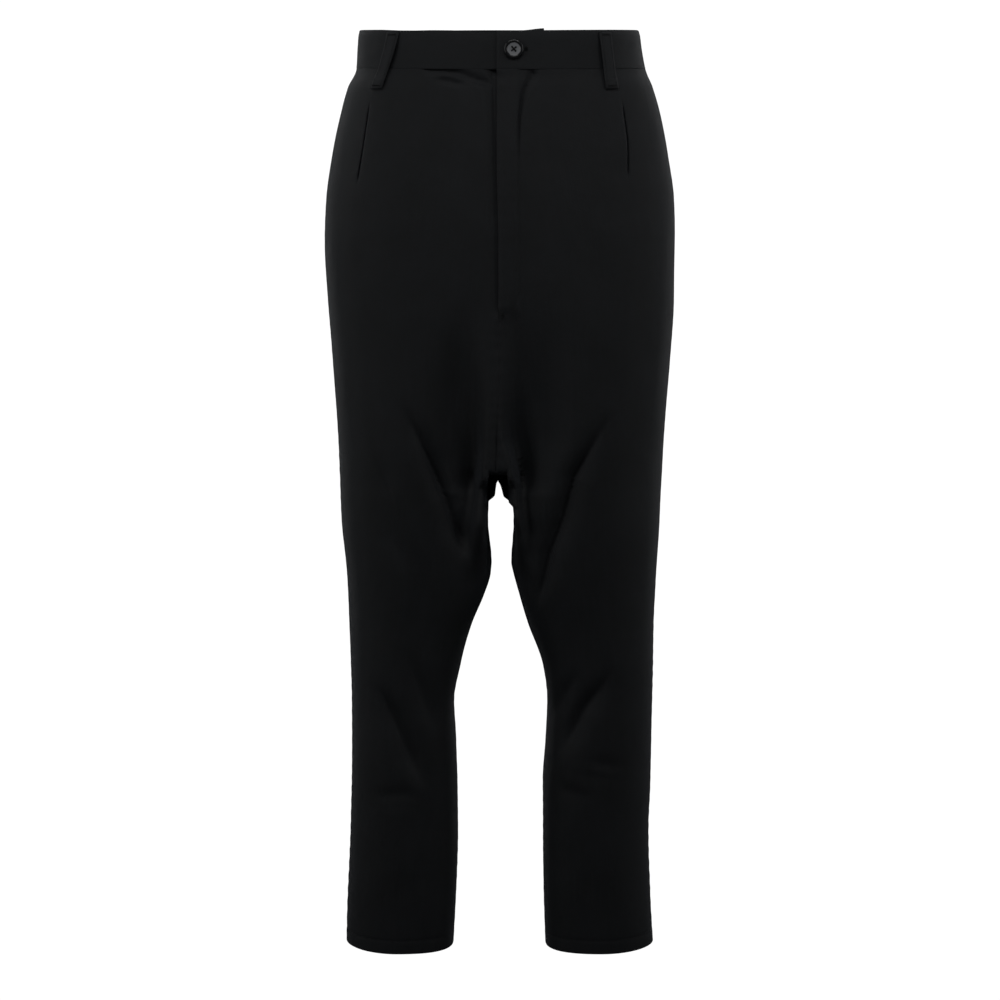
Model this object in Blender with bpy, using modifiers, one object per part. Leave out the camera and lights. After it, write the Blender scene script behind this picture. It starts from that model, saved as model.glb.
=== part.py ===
"""Drop-crotch trousers in their worn, filled-out shape.

Four cloth panels, a two-part waistband, a fly shield, five belt loops and a button, each its own object.
Metres, +Z up. The front faces -Y and the wearer's left is +X. The origin is the middle of the waistband's
ring, at half its height. A height on the garment is given as its drop: how far it lies below the
waistband's top edge at the centre front. Tables and sizes are in millimetres.
"""

import math
from collections import namedtuple

import bmesh
import bpy
import numpy as np
from mathutils import Matrix, Vector

MM = 0.001
RIGHT, LEFT = -1, 1
FRONT, BACK = -1, 1

# Driving sizes, in millimetres
BAND_HEIGHT = 40.0
BAND_WALL = 3.0
CLOTH_WALL = 2.0
SEAM_GAP = 0.3
BACK_RISE = 7.0  # how much higher the waist stands at the centre back than at the centre front
RISE_ENDS = 250.0  # drop where that rise has died out
CROTCH = 476.0  # drop of the point where the four panels meet
CROTCH_CURVE = 330.0  # drop from which the sections turn from one torso into two legs
HEM = 982.8
HEM_BOW = 3.0  # the hem hangs this much higher at the side seams and inseams than at the front and back
HEM_BOW_FROM = 880.0
SIDE_SEAM_BACK = 4.0  # the side seams lie this far behind the ring's middle

# One row a level. out: side seam from the centre plane, on the wearer's right and left. inner: inseam from
# the centre plane, 0 where the halves are joined. front, back: depth at the fullest place of each half.
# mid_front, mid_back: how much further out the cloth lies at the centre seams than there.
Level = namedtuple("Level", "drop out_right out_left inner_right inner_left front back mid_front mid_back")
LEVELS = [
    Level(0, 147.5, 149.5, 0, 0, 96.4, 103, 0.2, 0.5),
    Level(20, 148.7, 152.0, 0, 0, 97.2, 104, 0.2, 0.5),
    Level(40, 150.0, 156.0, 0, 0, 98, 106, 0.2, 0.5),
    Level(60, 159.3, 164.2, 0, 0, 101, 110, 1.0, 1.0),
    Level(90, 167.5, 172.8, 0, 0, 105, 117, 2.0, 1.0),
    Level(130, 176.4, 180.6, 0, 0, 110, 123, 2.5, 0.0),
    Level(175, 183.0, 187.0, 0, 0, 114, 128, 2.0, -1.5),
    Level(215, 184.7, 188.2, 0, 0, 115.5, 129, 1.5, -3.0),
    Level(280, 181.6, 187.9, 0, 0, 115, 126, 0.5, -6.0),
    Level(345, 177.0, 184.0, 0, 0, 112, 118, -3.0, -8.0),
    Level(433, 171.6, 177.7, 0, 0, 106, 108, -3.0, -8.0),
    Level(476, 170.0, 175.4, 0, 0, 101, 102, 0.0, 0.0),
    Level(478, 169.9, 175.3, 1.6, 1.4, 100.8, 101.8, 0.0, 0.0),
    Level(485, 169.8, 175.0, 2.5, 3.8, 100.1, 101, 0.0, 0.0),
    Level(491, 169.6, 174.8, 3.2, 5.4, 99.4, 100.3, 0.0, 0.0),
    Level(497, 169.4, 174.6, 10.0, 15.4, 98.7, 99.6, 0.0, 0.0),
    Level(520, 168.3, 173.8, 10.8, 16.8, 96, 96, 0.0, 0.0),
    Level(563, 163.8, 171.1, 7.0, 14.3, 90, 88, 0.0, 0.0),
    Level(576, 162.7, 170.3, 8.0, 16.8, 88, 86, 0.0, 0.0),
    Level(595, 161.8, 169.4, 14.0, 22.0, 85, 82, 0.0, 0.0),
    Level(628, 160.7, 168.1, 28.3, 31.8, 80, 76, 0.0, 0.0),
    Level(672, 159.4, 167.5, 40.2, 48.2, 75, 70, 0.0, 0.0),
    Level(715, 158.4, 166.6, 47.8, 53.4, 71, 67, 0.0, 0.0),
    Level(759, 158.7, 166.1, 45.4, 51.5, 68, 64, 0.0, 0.0),
    Level(804, 159.3, 165.3, 44.1, 48.4, 65, 62, 0.0, 0.0),
    Level(859, 160.5, 163.6, 43.8, 48.6, 61, 59, 0.0, 0.0),
    Level(925, 163.7, 165.7, 45.7, 49.3, 57, 57, 0.0, 0.0),
    Level(983, 165.4, 169.3, 48.6, 51.2, 53, 56, 0.0, 0.0),
]

# Where across each half the section stands furthest forward and back: the flat of the front, then each
# leg's middle.
Fullest = namedtuple("Fullest", "drop right left")
FULLEST = [
    Fullest(0, 30.0, 31.0),
    Fullest(175, 58.0, 60.0),
    Fullest(345, 76.0, 79.0),
    Fullest(476, 85.0, 88.0),
    Fullest(563, 88.0, 94.0),
    Fullest(672, 99.0, 107.0),
    Fullest(759, 102.0, 109.0),
    Fullest(983, 107.0, 110.0),
]
SQUARE_TORSO = 2.45  # how square the corners of a section are: 2 is an ellipse
SQUARE_LEG = 2.12
SQUARE_FADES_FROM = 200.0  # drop from which the torso's squarer corners soften towards the legs'
# Inner fronts and backs of the legs: squarer beside the crotch, and a little squarer all the way down
SQUARE_CROTCH, SQUARE_INNER = 3.1, 3.1
SQUARE_CROTCH_FROM, SQUARE_CROTCH_TO = (400.0, 490.0), (500.0, 610.0)
WEB_STARTS, WEB_ENDS = 380.0, 486.0  # here the joined front turns into two round legs
WEB_FLAT = 1.8  # the higher, the wider the hollows beside the centre seam
CROTCH_SNUG = 8.0  # the higher, the closer to the seam the cloth turns under between the legs
INSEAM_SNUG = 30  # the same for the short steps of the inseam below the crotch
INNER_OVER = 26.0
# At the crotch the legs' fronts begin this far from the centre plane, until the inseams part
THIGH_APART = {"right": 11.5, "left": 14.0}
THIGH_APART_ENDS = (486.0, 520.0)
# Above the crotch the cloth falls back between the legs, and the thick centre seams stand out as a ridge that
# stays upright and turns under sharply at its foot
HOLLOW_FROM = 250.0
HOLLOW_SHARE, HOLLOW_GROWS = 0.38, 1.6  # share of the depth lost by the crotch, and how late it is lost
HOLLOW_TURNS = 30
RIDGE_TURNS = {FRONT: 24, BACK: 10}
RIDGE_LEANS = 0.05
RIDGE_FLAT, RIDGE_FOOT = 3.0, 32.0  # half-widths of the ridge's top and of its foot

# Folds of the cloth, one row each. depth is positive for a trough and negative for a ridge; width is the
# half-width of its soft section; tip and foot are the lengths over which it fades at its two ends; the route
# runs through (distance from the centre plane, drop).
Fold = namedtuple("Fold", "half face depth width tip foot route")
FOLDS = [
    # Hollows on both sides of the centre front, deeper towards the crotch
    Fold(RIGHT, FRONT, 5.0, 12, 150, 70, [(40, 270), (43, 320), (46, 370), (49, 430), (46, 470), (40, 520)]),
    Fold(LEFT, FRONT, 4.5, 11, 150, 60, [(24, 280), (26, 330), (27, 380), (26, 430), (28, 470), (30, 510)]),
    # From the hips to the crotch
    Fold(RIGHT, FRONT, 7.0, 14, 90, 70, [(106, 366), (93, 402), (68, 444), (53, 488), (42, 535), (38, 590)]),
    Fold(RIGHT, FRONT, 2.4, 12, 80, 60, [(138, 400), (130, 439), (118, 498), (111, 530), (92, 580)]),
    Fold(LEFT, FRONT, 7.0, 14, 90, 80, [(128, 376), (111, 404), (92, 444), (78, 488), (61, 532), (46, 606)]),
    # Across the knees
    Fold(RIGHT, FRONT, 5.0, 12, 60, 50, [(138, 672), (123, 701), (102, 746), (90, 775), (74, 806)]),
    Fold(RIGHT, FRONT, 2.6, 10, 55, 55, [(102, 636), (89, 669), (74, 717), (62, 752)]),
    Fold(RIGHT, FRONT, 1.6, 8, 24, 30, [(140, 803), (122, 808), (100, 805), (78, 814)]),
    Fold(LEFT, FRONT, 5.4, 12, 60, 50, [(127, 658), (113, 686), (92, 717), (77, 745), (60, 776)]),
    Fold(LEFT, FRONT, 3.0, 9, 40, 36, [(88, 664), (74, 691), (60, 718), (54, 740)]),
    Fold(LEFT, FRONT, 1.8, 8, 24, 30, [(62, 786), (72, 802), (90, 808), (106, 806)]),
    Fold(LEFT, FRONT, 1.8, 8, 22, 22, [(92, 768), (108, 772), (126, 776), (138, 776)]),
    # The back, finished plainly with folds like those of the front
    Fold(RIGHT, BACK, 4.5, 13, 150, 80, [(46, 292), (50, 370), (47, 440), (42, 520)]),
    Fold(LEFT, BACK, 4.0, 13, 140, 70, [(42, 300), (46, 366), (44, 446), (40, 510)]),
    Fold(RIGHT, BACK, 5.0, 15, 80, 70, [(128, 340), (96, 392), (66, 448), (40, 520)]),
    Fold(RIGHT, BACK, 2.6, 13, 60, 60, [(140, 420), (108, 486), (70, 560)]),
    Fold(RIGHT, BACK, 4.6, 13, 44, 44, [(140, 686), (102, 716), (62, 722)]),
    Fold(RIGHT, BACK, 2.4, 10, 40, 34, [(132, 754), (98, 742), (66, 762)]),
    Fold(LEFT, BACK, 5.0, 15, 80, 70, [(120, 330), (90, 386), (64, 438), (38, 508)]),
    Fold(LEFT, BACK, 2.6, 13, 60, 60, [(148, 436), (108, 500), (74, 576)]),
    Fold(LEFT, BACK, 4.6, 13, 44, 44, [(146, 702), (104, 722), (66, 716)]),
    Fold(LEFT, BACK, 2.4, 10, 40, 34, [(136, 768), (100, 752), (72, 766)]),
]
THINNER = 0.4  # a fold's ends are this much narrower than its middle

# A tuck: the cloth is folded under along a line from the waistband, so one side of the line stands proud
Tuck = namedtuple("Tuck", "half step relax route")
TUCKS = [
    Tuck(RIGHT, 3.0, 22, [(126, 40), (134, 84), (140, 123), (146, 156)]),
    Tuck(LEFT, 3.0, 22, [(120, 40), (129, 78), (134, 114), (135, 150)]),
]
TUCK_FADE = 30.0
TUCK_OPENS = 26.0  # length below the waistband over which the step grows
TUCK_UNDER = 0.5  # the folded-under side sinks by this share of the step
TUCK_UNDER_RELAX = 1 / 3  # and it settles within this share of the proud side's length

# The fly: the left front laps over the right one along the centre front
FLY_END = 293.0
FLY_WIDTH = 23.0
FLY_EDGE = 7.0  # the fly's free side fades over this width
FLY_EDGE_INSIDE = 5.0  # of which this much lies inside its width
FLY_PROUD = 0.8
FLY_SINK = 1.7
FLY_SINK_WIDTH = 9.0
FLY_FOOT = (-6.0, 10.0)  # the fly's relief grows from this far below its end to this far above it

# Waistband: the left end lies over the underlap of the right one
OVERLAP_END = -1.6
UNDERLAP_END = 48.0
BAND_LIFT = 1.75
LIFT_FADE = 34.0
UNDERLAP_SINKS = 17.0  # the underlap goes down behind the overlapping end over this length
UNDERLAP_SUNK = 1.0  # and is fully down this far short of that end
BAND_STEP = 12.0
UNDERLAP_CORNER = 2.0  # the underlap's end stands this much above the band that covers it

SHIELD_INSET = 4.3
SHIELD_WALL = 1.5
SHIELD_TOP = 44.0
SHIELD_FROM, SHIELD_TO = -14.0, 30.0
SHIELD_ROWS, SHIELD_COLUMNS = 11, 6

LOOP_WIDTH = 15.0
LOOP_WALL = 1.5
LOOP_TOP = 2.5
LOOP_END = 61.5
LOOP_STANDS_OFF = 3.2
LOOP_FULLNESS = 0.7
LOOP_ROWS = 11
# One row a loop: the half and face that it lies on, and its middle line's distance from the centre plane
Loop = namedtuple("Loop", "name half face top bottom")
LOOPS = [
    Loop("belt_loop_front_right", RIGHT, FRONT, 108.5, 125.5),
    Loop("belt_loop_front_left", LEFT, FRONT, 110.4, 117.3),
    Loop("belt_loop_back_right", RIGHT, BACK, 84.0, 88.0),
    Loop("belt_loop_back_left", LEFT, BACK, 84.0, 88.0),
    Loop("belt_loop_centre_back", LEFT, BACK, 0.0, 0.0),
]

BUTTON_X = 16.2
BUTTON_DROP = 19.2
BUTTON_HEIGHT = 3.4
# The button's turned outline, from the middle of its dished top over the rim to the middle of its back
Ring = namedtuple("Ring", "across height")
BUTTON_RINGS = [
    Ring(0, 2.5),
    Ring(11.6, 2.5),
    Ring(14.0, 3.15),
    Ring(15.2, BUTTON_HEIGHT),
    Ring(18.5, 3.3),
    Ring(19.9, 2.6),
    Ring(20.3, 1.8),
    Ring(19.3, 0.5),
    Ring(17.1, 0),
    Ring(0, 0),
]
HOLE_ACROSS = 2.0
HOLE_SPACING = 3.9
BUTTON_TURN = math.radians(-4)
BUTTON_STEPS = 28
HOLE_SIDES = 10
HOLE_CUTTER_HEIGHT = 3 * BUTTON_HEIGHT

# How finely the cloth is divided
COLUMNS = 16
ROW_SPACING = 31.0
RIDGE_LEVELS = (0.9, 0.65, 0.35)  # extra levels, where the centre seam has this share of its depth left
EDGE_STRIP = 1.6
PROBE = 0.5  # a direction is measured over this length to each side
DENSE = 160  # points along each part of a section
SHORTEST = 1e-6

CLOTH_COLOUR = (0.0105, 0.0115, 0.0125)
CLOTH_ROUGHNESS = 0.7
BUTTON_COLOUR = (0.045, 0.047, 0.05)
BUTTON_ROUGHNESS = 0.35
COLLECTION = "drop_crotch_trousers"
WELD = 0.01  # points of the turned button that are nearer than this become one


def columns_of(table):
    """A table's columns by name."""
    return {name: np.array([getattr(row, name) for row in table], float) for name in table[0]._fields}


LEVEL_COLUMNS = columns_of(LEVELS)
FULLEST_COLUMNS = columns_of(FULLEST)


def soft_step(value, start, end):
    """0 before start, 1 after end, and a smooth rise between."""
    t = np.clip((value - start) / (end - start), 0.0, 1.0)
    return t * t * (3.0 - 2.0 * t)


def level_value(name, drop, table=LEVEL_COLUMNS):
    """A column of a table at any drop: cubic pieces between the rows that never overshoot them."""
    drops, column = table["drop"], table[name]
    rise = np.diff(column) / np.diff(drops)
    before, after = rise[:-1], rise[1:]
    same_way = before * after > 0
    slope = np.concatenate([rise[:1], np.zeros(len(before)), rise[-1:]])
    slope[1:-1][same_way] = 2 * before[same_way] * after[same_way] / (before + after)[same_way]
    row = int(np.clip(np.searchsorted(drops, drop) - 1, 0, len(rise) - 1))
    span = drops[row + 1] - drops[row]
    t = (drop - drops[row]) / span
    bend = slope[row] * t * (1 - t) ** 2 - slope[row + 1] * t * t * (1 - t)
    return column[row] + (column[row + 1] - column[row]) * t * t * (3 - 2 * t) + span * bend


def centre_depth(face, drop):
    """How far the cloth beside the centre seam lies from the side seams' plane, without the seam's ridge."""
    depth, extra = ("front", "mid_front") if face == FRONT else ("back", "mid_back")
    if drop <= HOLLOW_FROM:
        return level_value(depth, drop) + level_value(extra, drop)
    start = level_value(depth, HOLLOW_FROM) + level_value(extra, HOLLOW_FROM)
    along = min((drop - HOLLOW_FROM) / (CROTCH - HOLLOW_FROM), 1.0)
    return start * (1.0 - HOLLOW_SHARE * along**HOLLOW_GROWS) * (1.0 - along**HOLLOW_TURNS)


def ridge_height(face, drop):
    """How far the centre seam's ridge stands out of the cloth beside it."""
    if not HOLLOW_FROM < drop < CROTCH:
        return 0.0
    along = (drop - HOLLOW_FROM) / (CROTCH - HOLLOW_FROM)
    upright = centre_depth(face, HOLLOW_FROM) * (1.0 - RIDGE_LEANS * along * along)
    return max(upright * (1.0 - along ** RIDGE_TURNS[face]) - centre_depth(face, drop), 0.0)


def inner_thigh(side, drop):
    """The inner edge of the thigh's front and back, which pass the steps of the inseam smoothly."""
    near = np.linspace(drop - INNER_OVER, drop + INNER_OVER, 9)
    mean = float(np.mean([level_value("inner_" + side, float(min(max(d, 0), HEM))) for d in near]))
    return mean + (THIGH_APART[side] - mean) * (1 - float(soft_step(drop, *THIGH_APART_ENDS)))


def section(half, face, drop):
    """Dense (x, y) points of one panel at one drop, from its centre seam or inseam to the side seam."""
    side = "right" if half == RIGHT else "left"
    outer, inner = level_value("out_" + side, drop), level_value("inner_" + side, drop)
    depth = level_value("front" if face == FRONT else "back", drop)
    fullest, thigh = level_value(side, drop, FULLEST_COLUMNS), inner_thigh(side, drop)
    power = 2 / (SQUARE_TORSO + (SQUARE_LEG - SQUARE_TORSO) * soft_step(drop, SQUARE_FADES_FROM, CROTCH))
    legs, below = soft_step(drop, *SQUARE_CROTCH_FROM), soft_step(drop, *SQUARE_CROTCH_TO)
    square = power + (2 / SQUARE_CROTCH - power) * legs + (2 / SQUARE_INNER - 2 / SQUARE_CROTCH) * below
    web = 1.0 - soft_step(drop, WEB_STARTS, WEB_ENDS)
    end = centre_depth(face, drop)

    t = (1 - np.cos(np.linspace(0.0, math.pi, DENSE))) / 2
    across, out = np.cos(t * math.pi / 2) ** square, np.sin(t * math.pi / 2) ** square
    snug = 1 + (CROTCH_SNUG - 1) * soft_step(drop, CROTCH_CURVE, CROTCH)
    round_x = fullest - (fullest - thigh) * across + (inner - thigh) * across**INSEAM_SNUG
    round_y = (end**snug + (depth**snug - end**snug) * out**snug) ** (1 / snug)
    web_x, web_y = inner + (fullest - inner) * t, end + (depth - end) * (1 - np.cos(math.pi * t**WEB_FLAT)) / 2
    inside_x, inside_y = web * web_x + (1 - web) * round_x, web * web_y + (1 - web) * round_y
    inside_y = inside_y + ridge_height(face, drop) * (1 - soft_step(inside_x, RIDGE_FLAT, RIDGE_FOOT))
    across, out = np.cos(t * math.pi / 2) ** power, np.sin(t * math.pi / 2) ** power
    back_of_side = SIDE_SEAM_BACK * face
    side_x, side_y = fullest + (outer - fullest) * out, back_of_side + (depth - back_of_side) * across
    inside, outside = np.stack([inside_x, inside_y], axis=1), np.stack([side_x, side_y], axis=1)
    return np.concatenate([inside, outside[1:]]) * [half, face]


def along(points, places):
    """Points and unit directions at these distances along a dense line."""
    steps = np.diff(points, axis=0)
    lengths = np.hypot(steps[:, 0], steps[:, 1])
    keep = np.concatenate([[True], lengths > SHORTEST])
    points = points[keep]
    steps = np.diff(points, axis=0)
    lengths = np.hypot(steps[:, 0], steps[:, 1])
    distance = np.concatenate([[0.0], np.cumsum(lengths)])
    found = np.stack([np.interp(places, distance, points[:, axis]) for axis in (0, 1)], axis=1)
    ahead = np.stack([np.interp(places + PROBE, distance, points[:, axis]) for axis in (0, 1)], axis=1)
    behind = np.stack([np.interp(places - PROBE, distance, points[:, axis]) for axis in (0, 1)], axis=1)
    way = ahead - behind
    return found, way / np.linalg.norm(way, axis=1, keepdims=True)


def length_of(points):
    return float(np.hypot(*np.diff(points, axis=0).T).sum())


def height(half, face, drop, x, share):
    """World height of a point: its drop, the rise of the waist towards the back and the hem's bow."""
    turn = share / 2 if face == FRONT else 1 - share / 2
    rise = BACK_RISE * (1 - np.cos(math.pi * turn)) / 2 * (1 - soft_step(drop, 0.0, RISE_ENDS))
    side = "right" if half == RIGHT else "left"
    outer, inner = level_value("out_" + side, drop), level_value("inner_" + side, drop)
    lean = (np.abs(x) - (outer + inner) / 2) / ((outer - inner) / 2)
    bow = HEM_BOW * lean * lean * soft_step(drop, HEM_BOW_FROM, HEM)
    return BAND_HEIGHT / 2 - drop + rise + bow


def base_row(half, face, drop, shares, offsets):
    """Points and outward normals along one level of a panel, before folds.

    A place along it is a share of the panel's width there, plus an offset in millimetres.
    """
    line = section(half, face, drop)
    wide = length_of(line)
    places = shares * wide + offsets
    found, way = along(line, places)
    points = np.column_stack([found, height(half, face, drop, found[:, 0], places / wide)])
    above, below = [
        along(section(half, face, near), shares * length_of(section(half, face, near)) + offsets)[0]
        for near in (drop - PROBE, drop + PROBE)
    ]
    across = np.column_stack([way, np.zeros(len(way))])
    down = np.column_stack([below - above, np.full(len(way), -2 * PROBE)])
    normals = np.cross(down, across) * half * -face
    return points, normals / np.linalg.norm(normals, axis=1, keepdims=True)


def near_route(route, x, drop):
    """Distance from a fold's line, its sign by the side, and the length along it, for each point."""
    best = np.full(x.shape, np.inf)
    side, run = np.zeros(x.shape), np.zeros(x.shape)
    start = 0.0
    for (x0, d0), (x1, d1) in zip(route, route[1:]):
        long = math.hypot(x1 - x0, d1 - d0)
        t = ((x - x0) * (x1 - x0) + (drop - d0) * (d1 - d0)) / long**2
        held = np.clip(t, 0.0, 1.0)
        off_x, off_d = x - x0 - held * (x1 - x0), drop - d0 - held * (d1 - d0)
        gap = np.hypot(off_x, off_d)
        closer = gap < best
        best = np.where(closer, gap, best)
        side = np.where(closer, np.sign((x1 - x0) * off_d - (d1 - d0) * off_x), side)
        run = np.where(closer, start + held * long, run)
        start += long
    return best, side, run, start


def relief(half, face, x, drop):
    """How far the cloth stands out of its base shape at each point, from folds, tucks and the fly."""
    out = np.zeros(x.shape)
    away = np.abs(x)
    for fold in FOLDS:
        if (fold.half, fold.face) != (half, face):
            continue
        gap, _, run, whole = near_route(fold.route, away, drop)
        ends = soft_step(run, 0.0, fold.tip) * soft_step(whole - run, 0.0, fold.foot)
        width = fold.width * (1 - THINNER * (1 - ends))
        out -= fold.depth * np.exp(-((gap / width) ** 2)) * ends
    if face == BACK:
        return out
    for tuck in TUCKS:
        if tuck.half != half:
            continue
        gap, side, run, whole = near_route(tuck.route, away, drop)
        opens = soft_step(drop, BAND_HEIGHT, BAND_HEIGHT + TUCK_OPENS)
        ends = soft_step(whole - run, 0.0, TUCK_FADE) * opens
        over = np.exp(-gap / tuck.relax)
        under = -TUCK_UNDER * np.exp(-gap / (tuck.relax * TUCK_UNDER_RELAX))
        proud = np.where(side > 0, over, under)
        out += tuck.step * proud * ends
    in_fly = soft_step(FLY_END - drop, *FLY_FOOT)
    if half == LEFT:
        edge = FLY_WIDTH - FLY_EDGE_INSIDE
        out += FLY_PROUD * in_fly * (1 - soft_step(away, edge, edge + FLY_EDGE))
    else:
        out -= FLY_SINK * in_fly * (1 - soft_step(away, 0.0, FLY_SINK_WIDTH))
    return out


def panel_surface(half, face, drops, columns):
    """Rows of outer-face points of one panel, in metres, with its folds."""
    shares, offsets = np.array(columns, float).T
    rows = []
    for drop in drops:
        points, normals = base_row(half, face, drop, shares, offsets)
        out = relief(half, face, points[:, 0], np.full(len(points), drop)) * np.abs(normals[:, 1])
        rows.append((points + normals * out[:, None]) * MM)
    return rows


def clear_scene():
    for obj in list(bpy.data.objects):
        bpy.data.objects.remove(obj, do_unlink=True)


def make_material(name, colour, roughness):
    """A Principled material with one colour and roughness."""
    material = bpy.data.materials.new(name)
    material.use_nodes = True
    shader = material.node_tree.nodes["Principled BSDF"]
    shader.inputs["Base Color"].default_value = (*colour, 1.0)
    shader.inputs["Roughness"].default_value = roughness
    return material


def cloth_object(name, rows, wall, material, outward):
    """An open sheet through rows of points, made a closed wall that grows inwards from them."""
    sheet = bmesh.new()
    lines = [[sheet.verts.new(point) for point in row] for row in rows]
    for upper, lower in zip(lines, lines[1:]):
        for i in range(len(upper) - 1):
            corners = [upper[i], lower[i], lower[i + 1], upper[i + 1]]
            sheet.faces.new(corners if outward else corners[::-1])
    mesh = bpy.data.meshes.new(name)
    sheet.to_mesh(mesh)
    sheet.free()
    mesh.shade_smooth()
    mesh.materials.append(material)
    obj = bpy.data.objects.new(name, mesh)
    bpy.context.scene.collection.children[COLLECTION].objects.link(obj)
    shell = obj.modifiers.new("wall", "SOLIDIFY")
    shell.thickness = wall * MM
    shell.offset = -1.0
    return obj


def panel_columns():
    """Places across a panel: a narrow strip at each seam, and even steps between."""
    seam = SEAM_GAP / 2
    inner = [(i / COLUMNS, 0.0) for i in range(1, COLUMNS)]
    return [(0, seam), (0, seam + EDGE_STRIP), *inner, (1, -seam - EDGE_STRIP), (1, -seam)]


def panel_drops():
    """Levels of a panel: a narrow strip at the waist seam and hem, the table's own levels and steps between.

    Where the centre seams curve under, the levels crowd together, so that their edges turn in even steps.
    """
    top = BAND_HEIGHT + SEAM_GAP
    turns = RIDGE_TURNS[FRONT]
    under = [HOLLOW_FROM + (CROTCH - HOLLOW_FROM) * (1 - share) ** (1 / turns) for share in RIDGE_LEVELS]
    table_levels = [row.drop for row in LEVELS if top + EDGE_STRIP < row.drop < HEM - ROW_SPACING / 2]
    stops = [top, top + EDGE_STRIP, *sorted(under + table_levels), HEM - EDGE_STRIP]
    drops = []
    for start, end in zip(stops, stops[1:]):
        parts = max(1, round((end - start) / ROW_SPACING))
        drops += [start + (end - start) * i / parts for i in range(parts)]
    return [*drops, stops[-1], HEM]


def make_panels(material):
    for side, half in (("right", RIGHT), ("left", LEFT)):
        for name, face in (("front", FRONT), ("back", BACK)):
            rows = panel_surface(half, face, panel_drops(), panel_columns())
            cloth_object(f"{name}_{side}", rows, CLOTH_WALL, material, half * face < 0)


def band_point(place, drop):
    """Point and outward normal of the waist ring, place millimetres round from the centre front."""
    half = LEFT if place >= 0 else RIGHT
    wide = length_of(section(half, FRONT, drop))
    if abs(place) <= wide:
        face, from_centre = FRONT, abs(place)
    else:
        face, from_centre = BACK, wide + length_of(section(half, BACK, drop)) - abs(place)
        if from_centre < 0:
            half, from_centre = -half, -from_centre
    points, normals = base_row(half, face, drop, np.zeros(1), np.array([from_centre]))
    return points[0], normals[0]


def half_ring(half, drop):
    """Length of the waist ring on one side, from the centre front to the centre back."""
    return length_of(section(half, FRONT, drop)) + length_of(section(half, BACK, drop))


def band_rows(half, places, lift, raise_top):
    """The band's outer face: rows of points, moved by a lift outward and a rise of the top edge."""
    rows = []
    for drop, top in ((0.0, 1.0), (BAND_HEIGHT / 2, 0.5), (BAND_HEIGHT, 0.0)):
        stretch = half_ring(half, drop) / half_ring(half, BAND_HEIGHT / 2)
        row = []
        for place in places:
            point, normal = band_point(place * stretch, drop)
            level = np.array([normal[0], normal[1], 0.0])
            point = point + level / np.linalg.norm(level) * lift(place)
            row.append((point + [0.0, 0.0, raise_top(place) * top]) * MM)
        rows.append(row)
    return rows


def band_places(half, start, end):
    """Places round the ring for one band's columns: its two ends, and steps that both bands share."""
    steps = np.arange(round(start / BAND_STEP) - 1, end / BAND_STEP + 1) * BAND_STEP
    inner = steps[(steps > start + BAND_STEP / 4) & (steps < end - BAND_STEP / 4)]
    return half * np.concatenate([[start], inner, [end]])


def over_lift(place):
    """The overlapping end stands proud of the ring as far as the underlap goes, and settles beyond it."""
    return BAND_LIFT * (1 - soft_step(place, UNDERLAP_END, UNDERLAP_END + LIFT_FADE))


def under_lift(place):
    """The underlap sinks behind the overlapping end."""
    return -BAND_LIFT * soft_step(place, OVERLAP_END - UNDERLAP_SINKS, OVERLAP_END - UNDERLAP_SUNK)


def underlap_top(place):
    return UNDERLAP_CORNER * soft_step(place, UNDERLAP_END / 2, UNDERLAP_END)


def level_top(place):
    return 0.0


def make_waistband(material):
    """Two halves that meet at the centre back; at the front the left one lies over the right one."""
    for name, half, start, lift, raise_top in (
        ("waistband_left", LEFT, OVERLAP_END, over_lift, level_top),
        ("waistband_right", RIGHT, -UNDERLAP_END, under_lift, underlap_top),
    ):
        end = half_ring(half, BAND_HEIGHT / 2) - SEAM_GAP / 2
        rows = band_rows(half, band_places(half, start, end), lift, raise_top)
        cloth_object(name, rows, BAND_WALL, material, half > 0)


def make_fly_shield(material):
    """A plain strip behind the fly opening, inside both fronts."""
    drops = np.linspace(SHIELD_TOP, FLY_END, SHIELD_ROWS)
    places = np.linspace(SHIELD_FROM, SHIELD_TO, SHIELD_COLUMNS)
    rows = []
    for drop in drops:
        row = []
        for place in places:
            point, normal = band_point(place, drop)
            row.append((point - normal * SHIELD_INSET) * MM)
        rows.append(row)
    cloth_object("fly_shield", rows, SHIELD_WALL, material, True)


def loop_place(loop, drop, middle, offset):
    """Distance round from the centre front of a point on a belt loop, offset from its middle line."""
    line = section(loop.half, loop.face, drop)
    run = np.concatenate([[0.0], np.cumsum(np.hypot(*np.diff(line, axis=0).T))])
    from_centre = np.interp(middle, np.abs(line[:, 0]), run) + offset
    if loop.face == FRONT:
        return loop.half * from_centre
    return loop.half * (length_of(section(loop.half, FRONT, drop)) + run[-1] - from_centre)


def make_belt_loops(material):
    """Straps over the waistband, from the cloth's points moved out: flat at both ends, off it between."""
    for loop in LOOPS:
        rows = []
        for share in np.linspace(0.0, 1.0, LOOP_ROWS):
            drop = LOOP_TOP + (LOOP_END - LOOP_TOP) * share
            middle = loop.top + (loop.bottom - loop.top) * share
            offsets = (-LOOP_WIDTH / 2, 0.0, LOOP_WIDTH / 2)
            found = [band_point(loop_place(loop, drop, middle, offset), drop) for offset in offsets]
            across = np.array([point[0] for point, _ in found])
            folds = max(0.0, relief(loop.half, loop.face, across, np.full(3, drop)).max())
            stand = SEAM_GAP + (LOOP_STANDS_OFF - SEAM_GAP) * math.sin(math.pi * share) ** LOOP_FULLNESS
            out = folds * (drop > BAND_HEIGHT) + stand + LOOP_WALL
            rows.append([(point + normal * out) * MM for point, normal in found])
        cloth_object(loop.name, rows, LOOP_WALL, material, (loop.half > 0) == (loop.face == FRONT))


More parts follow.
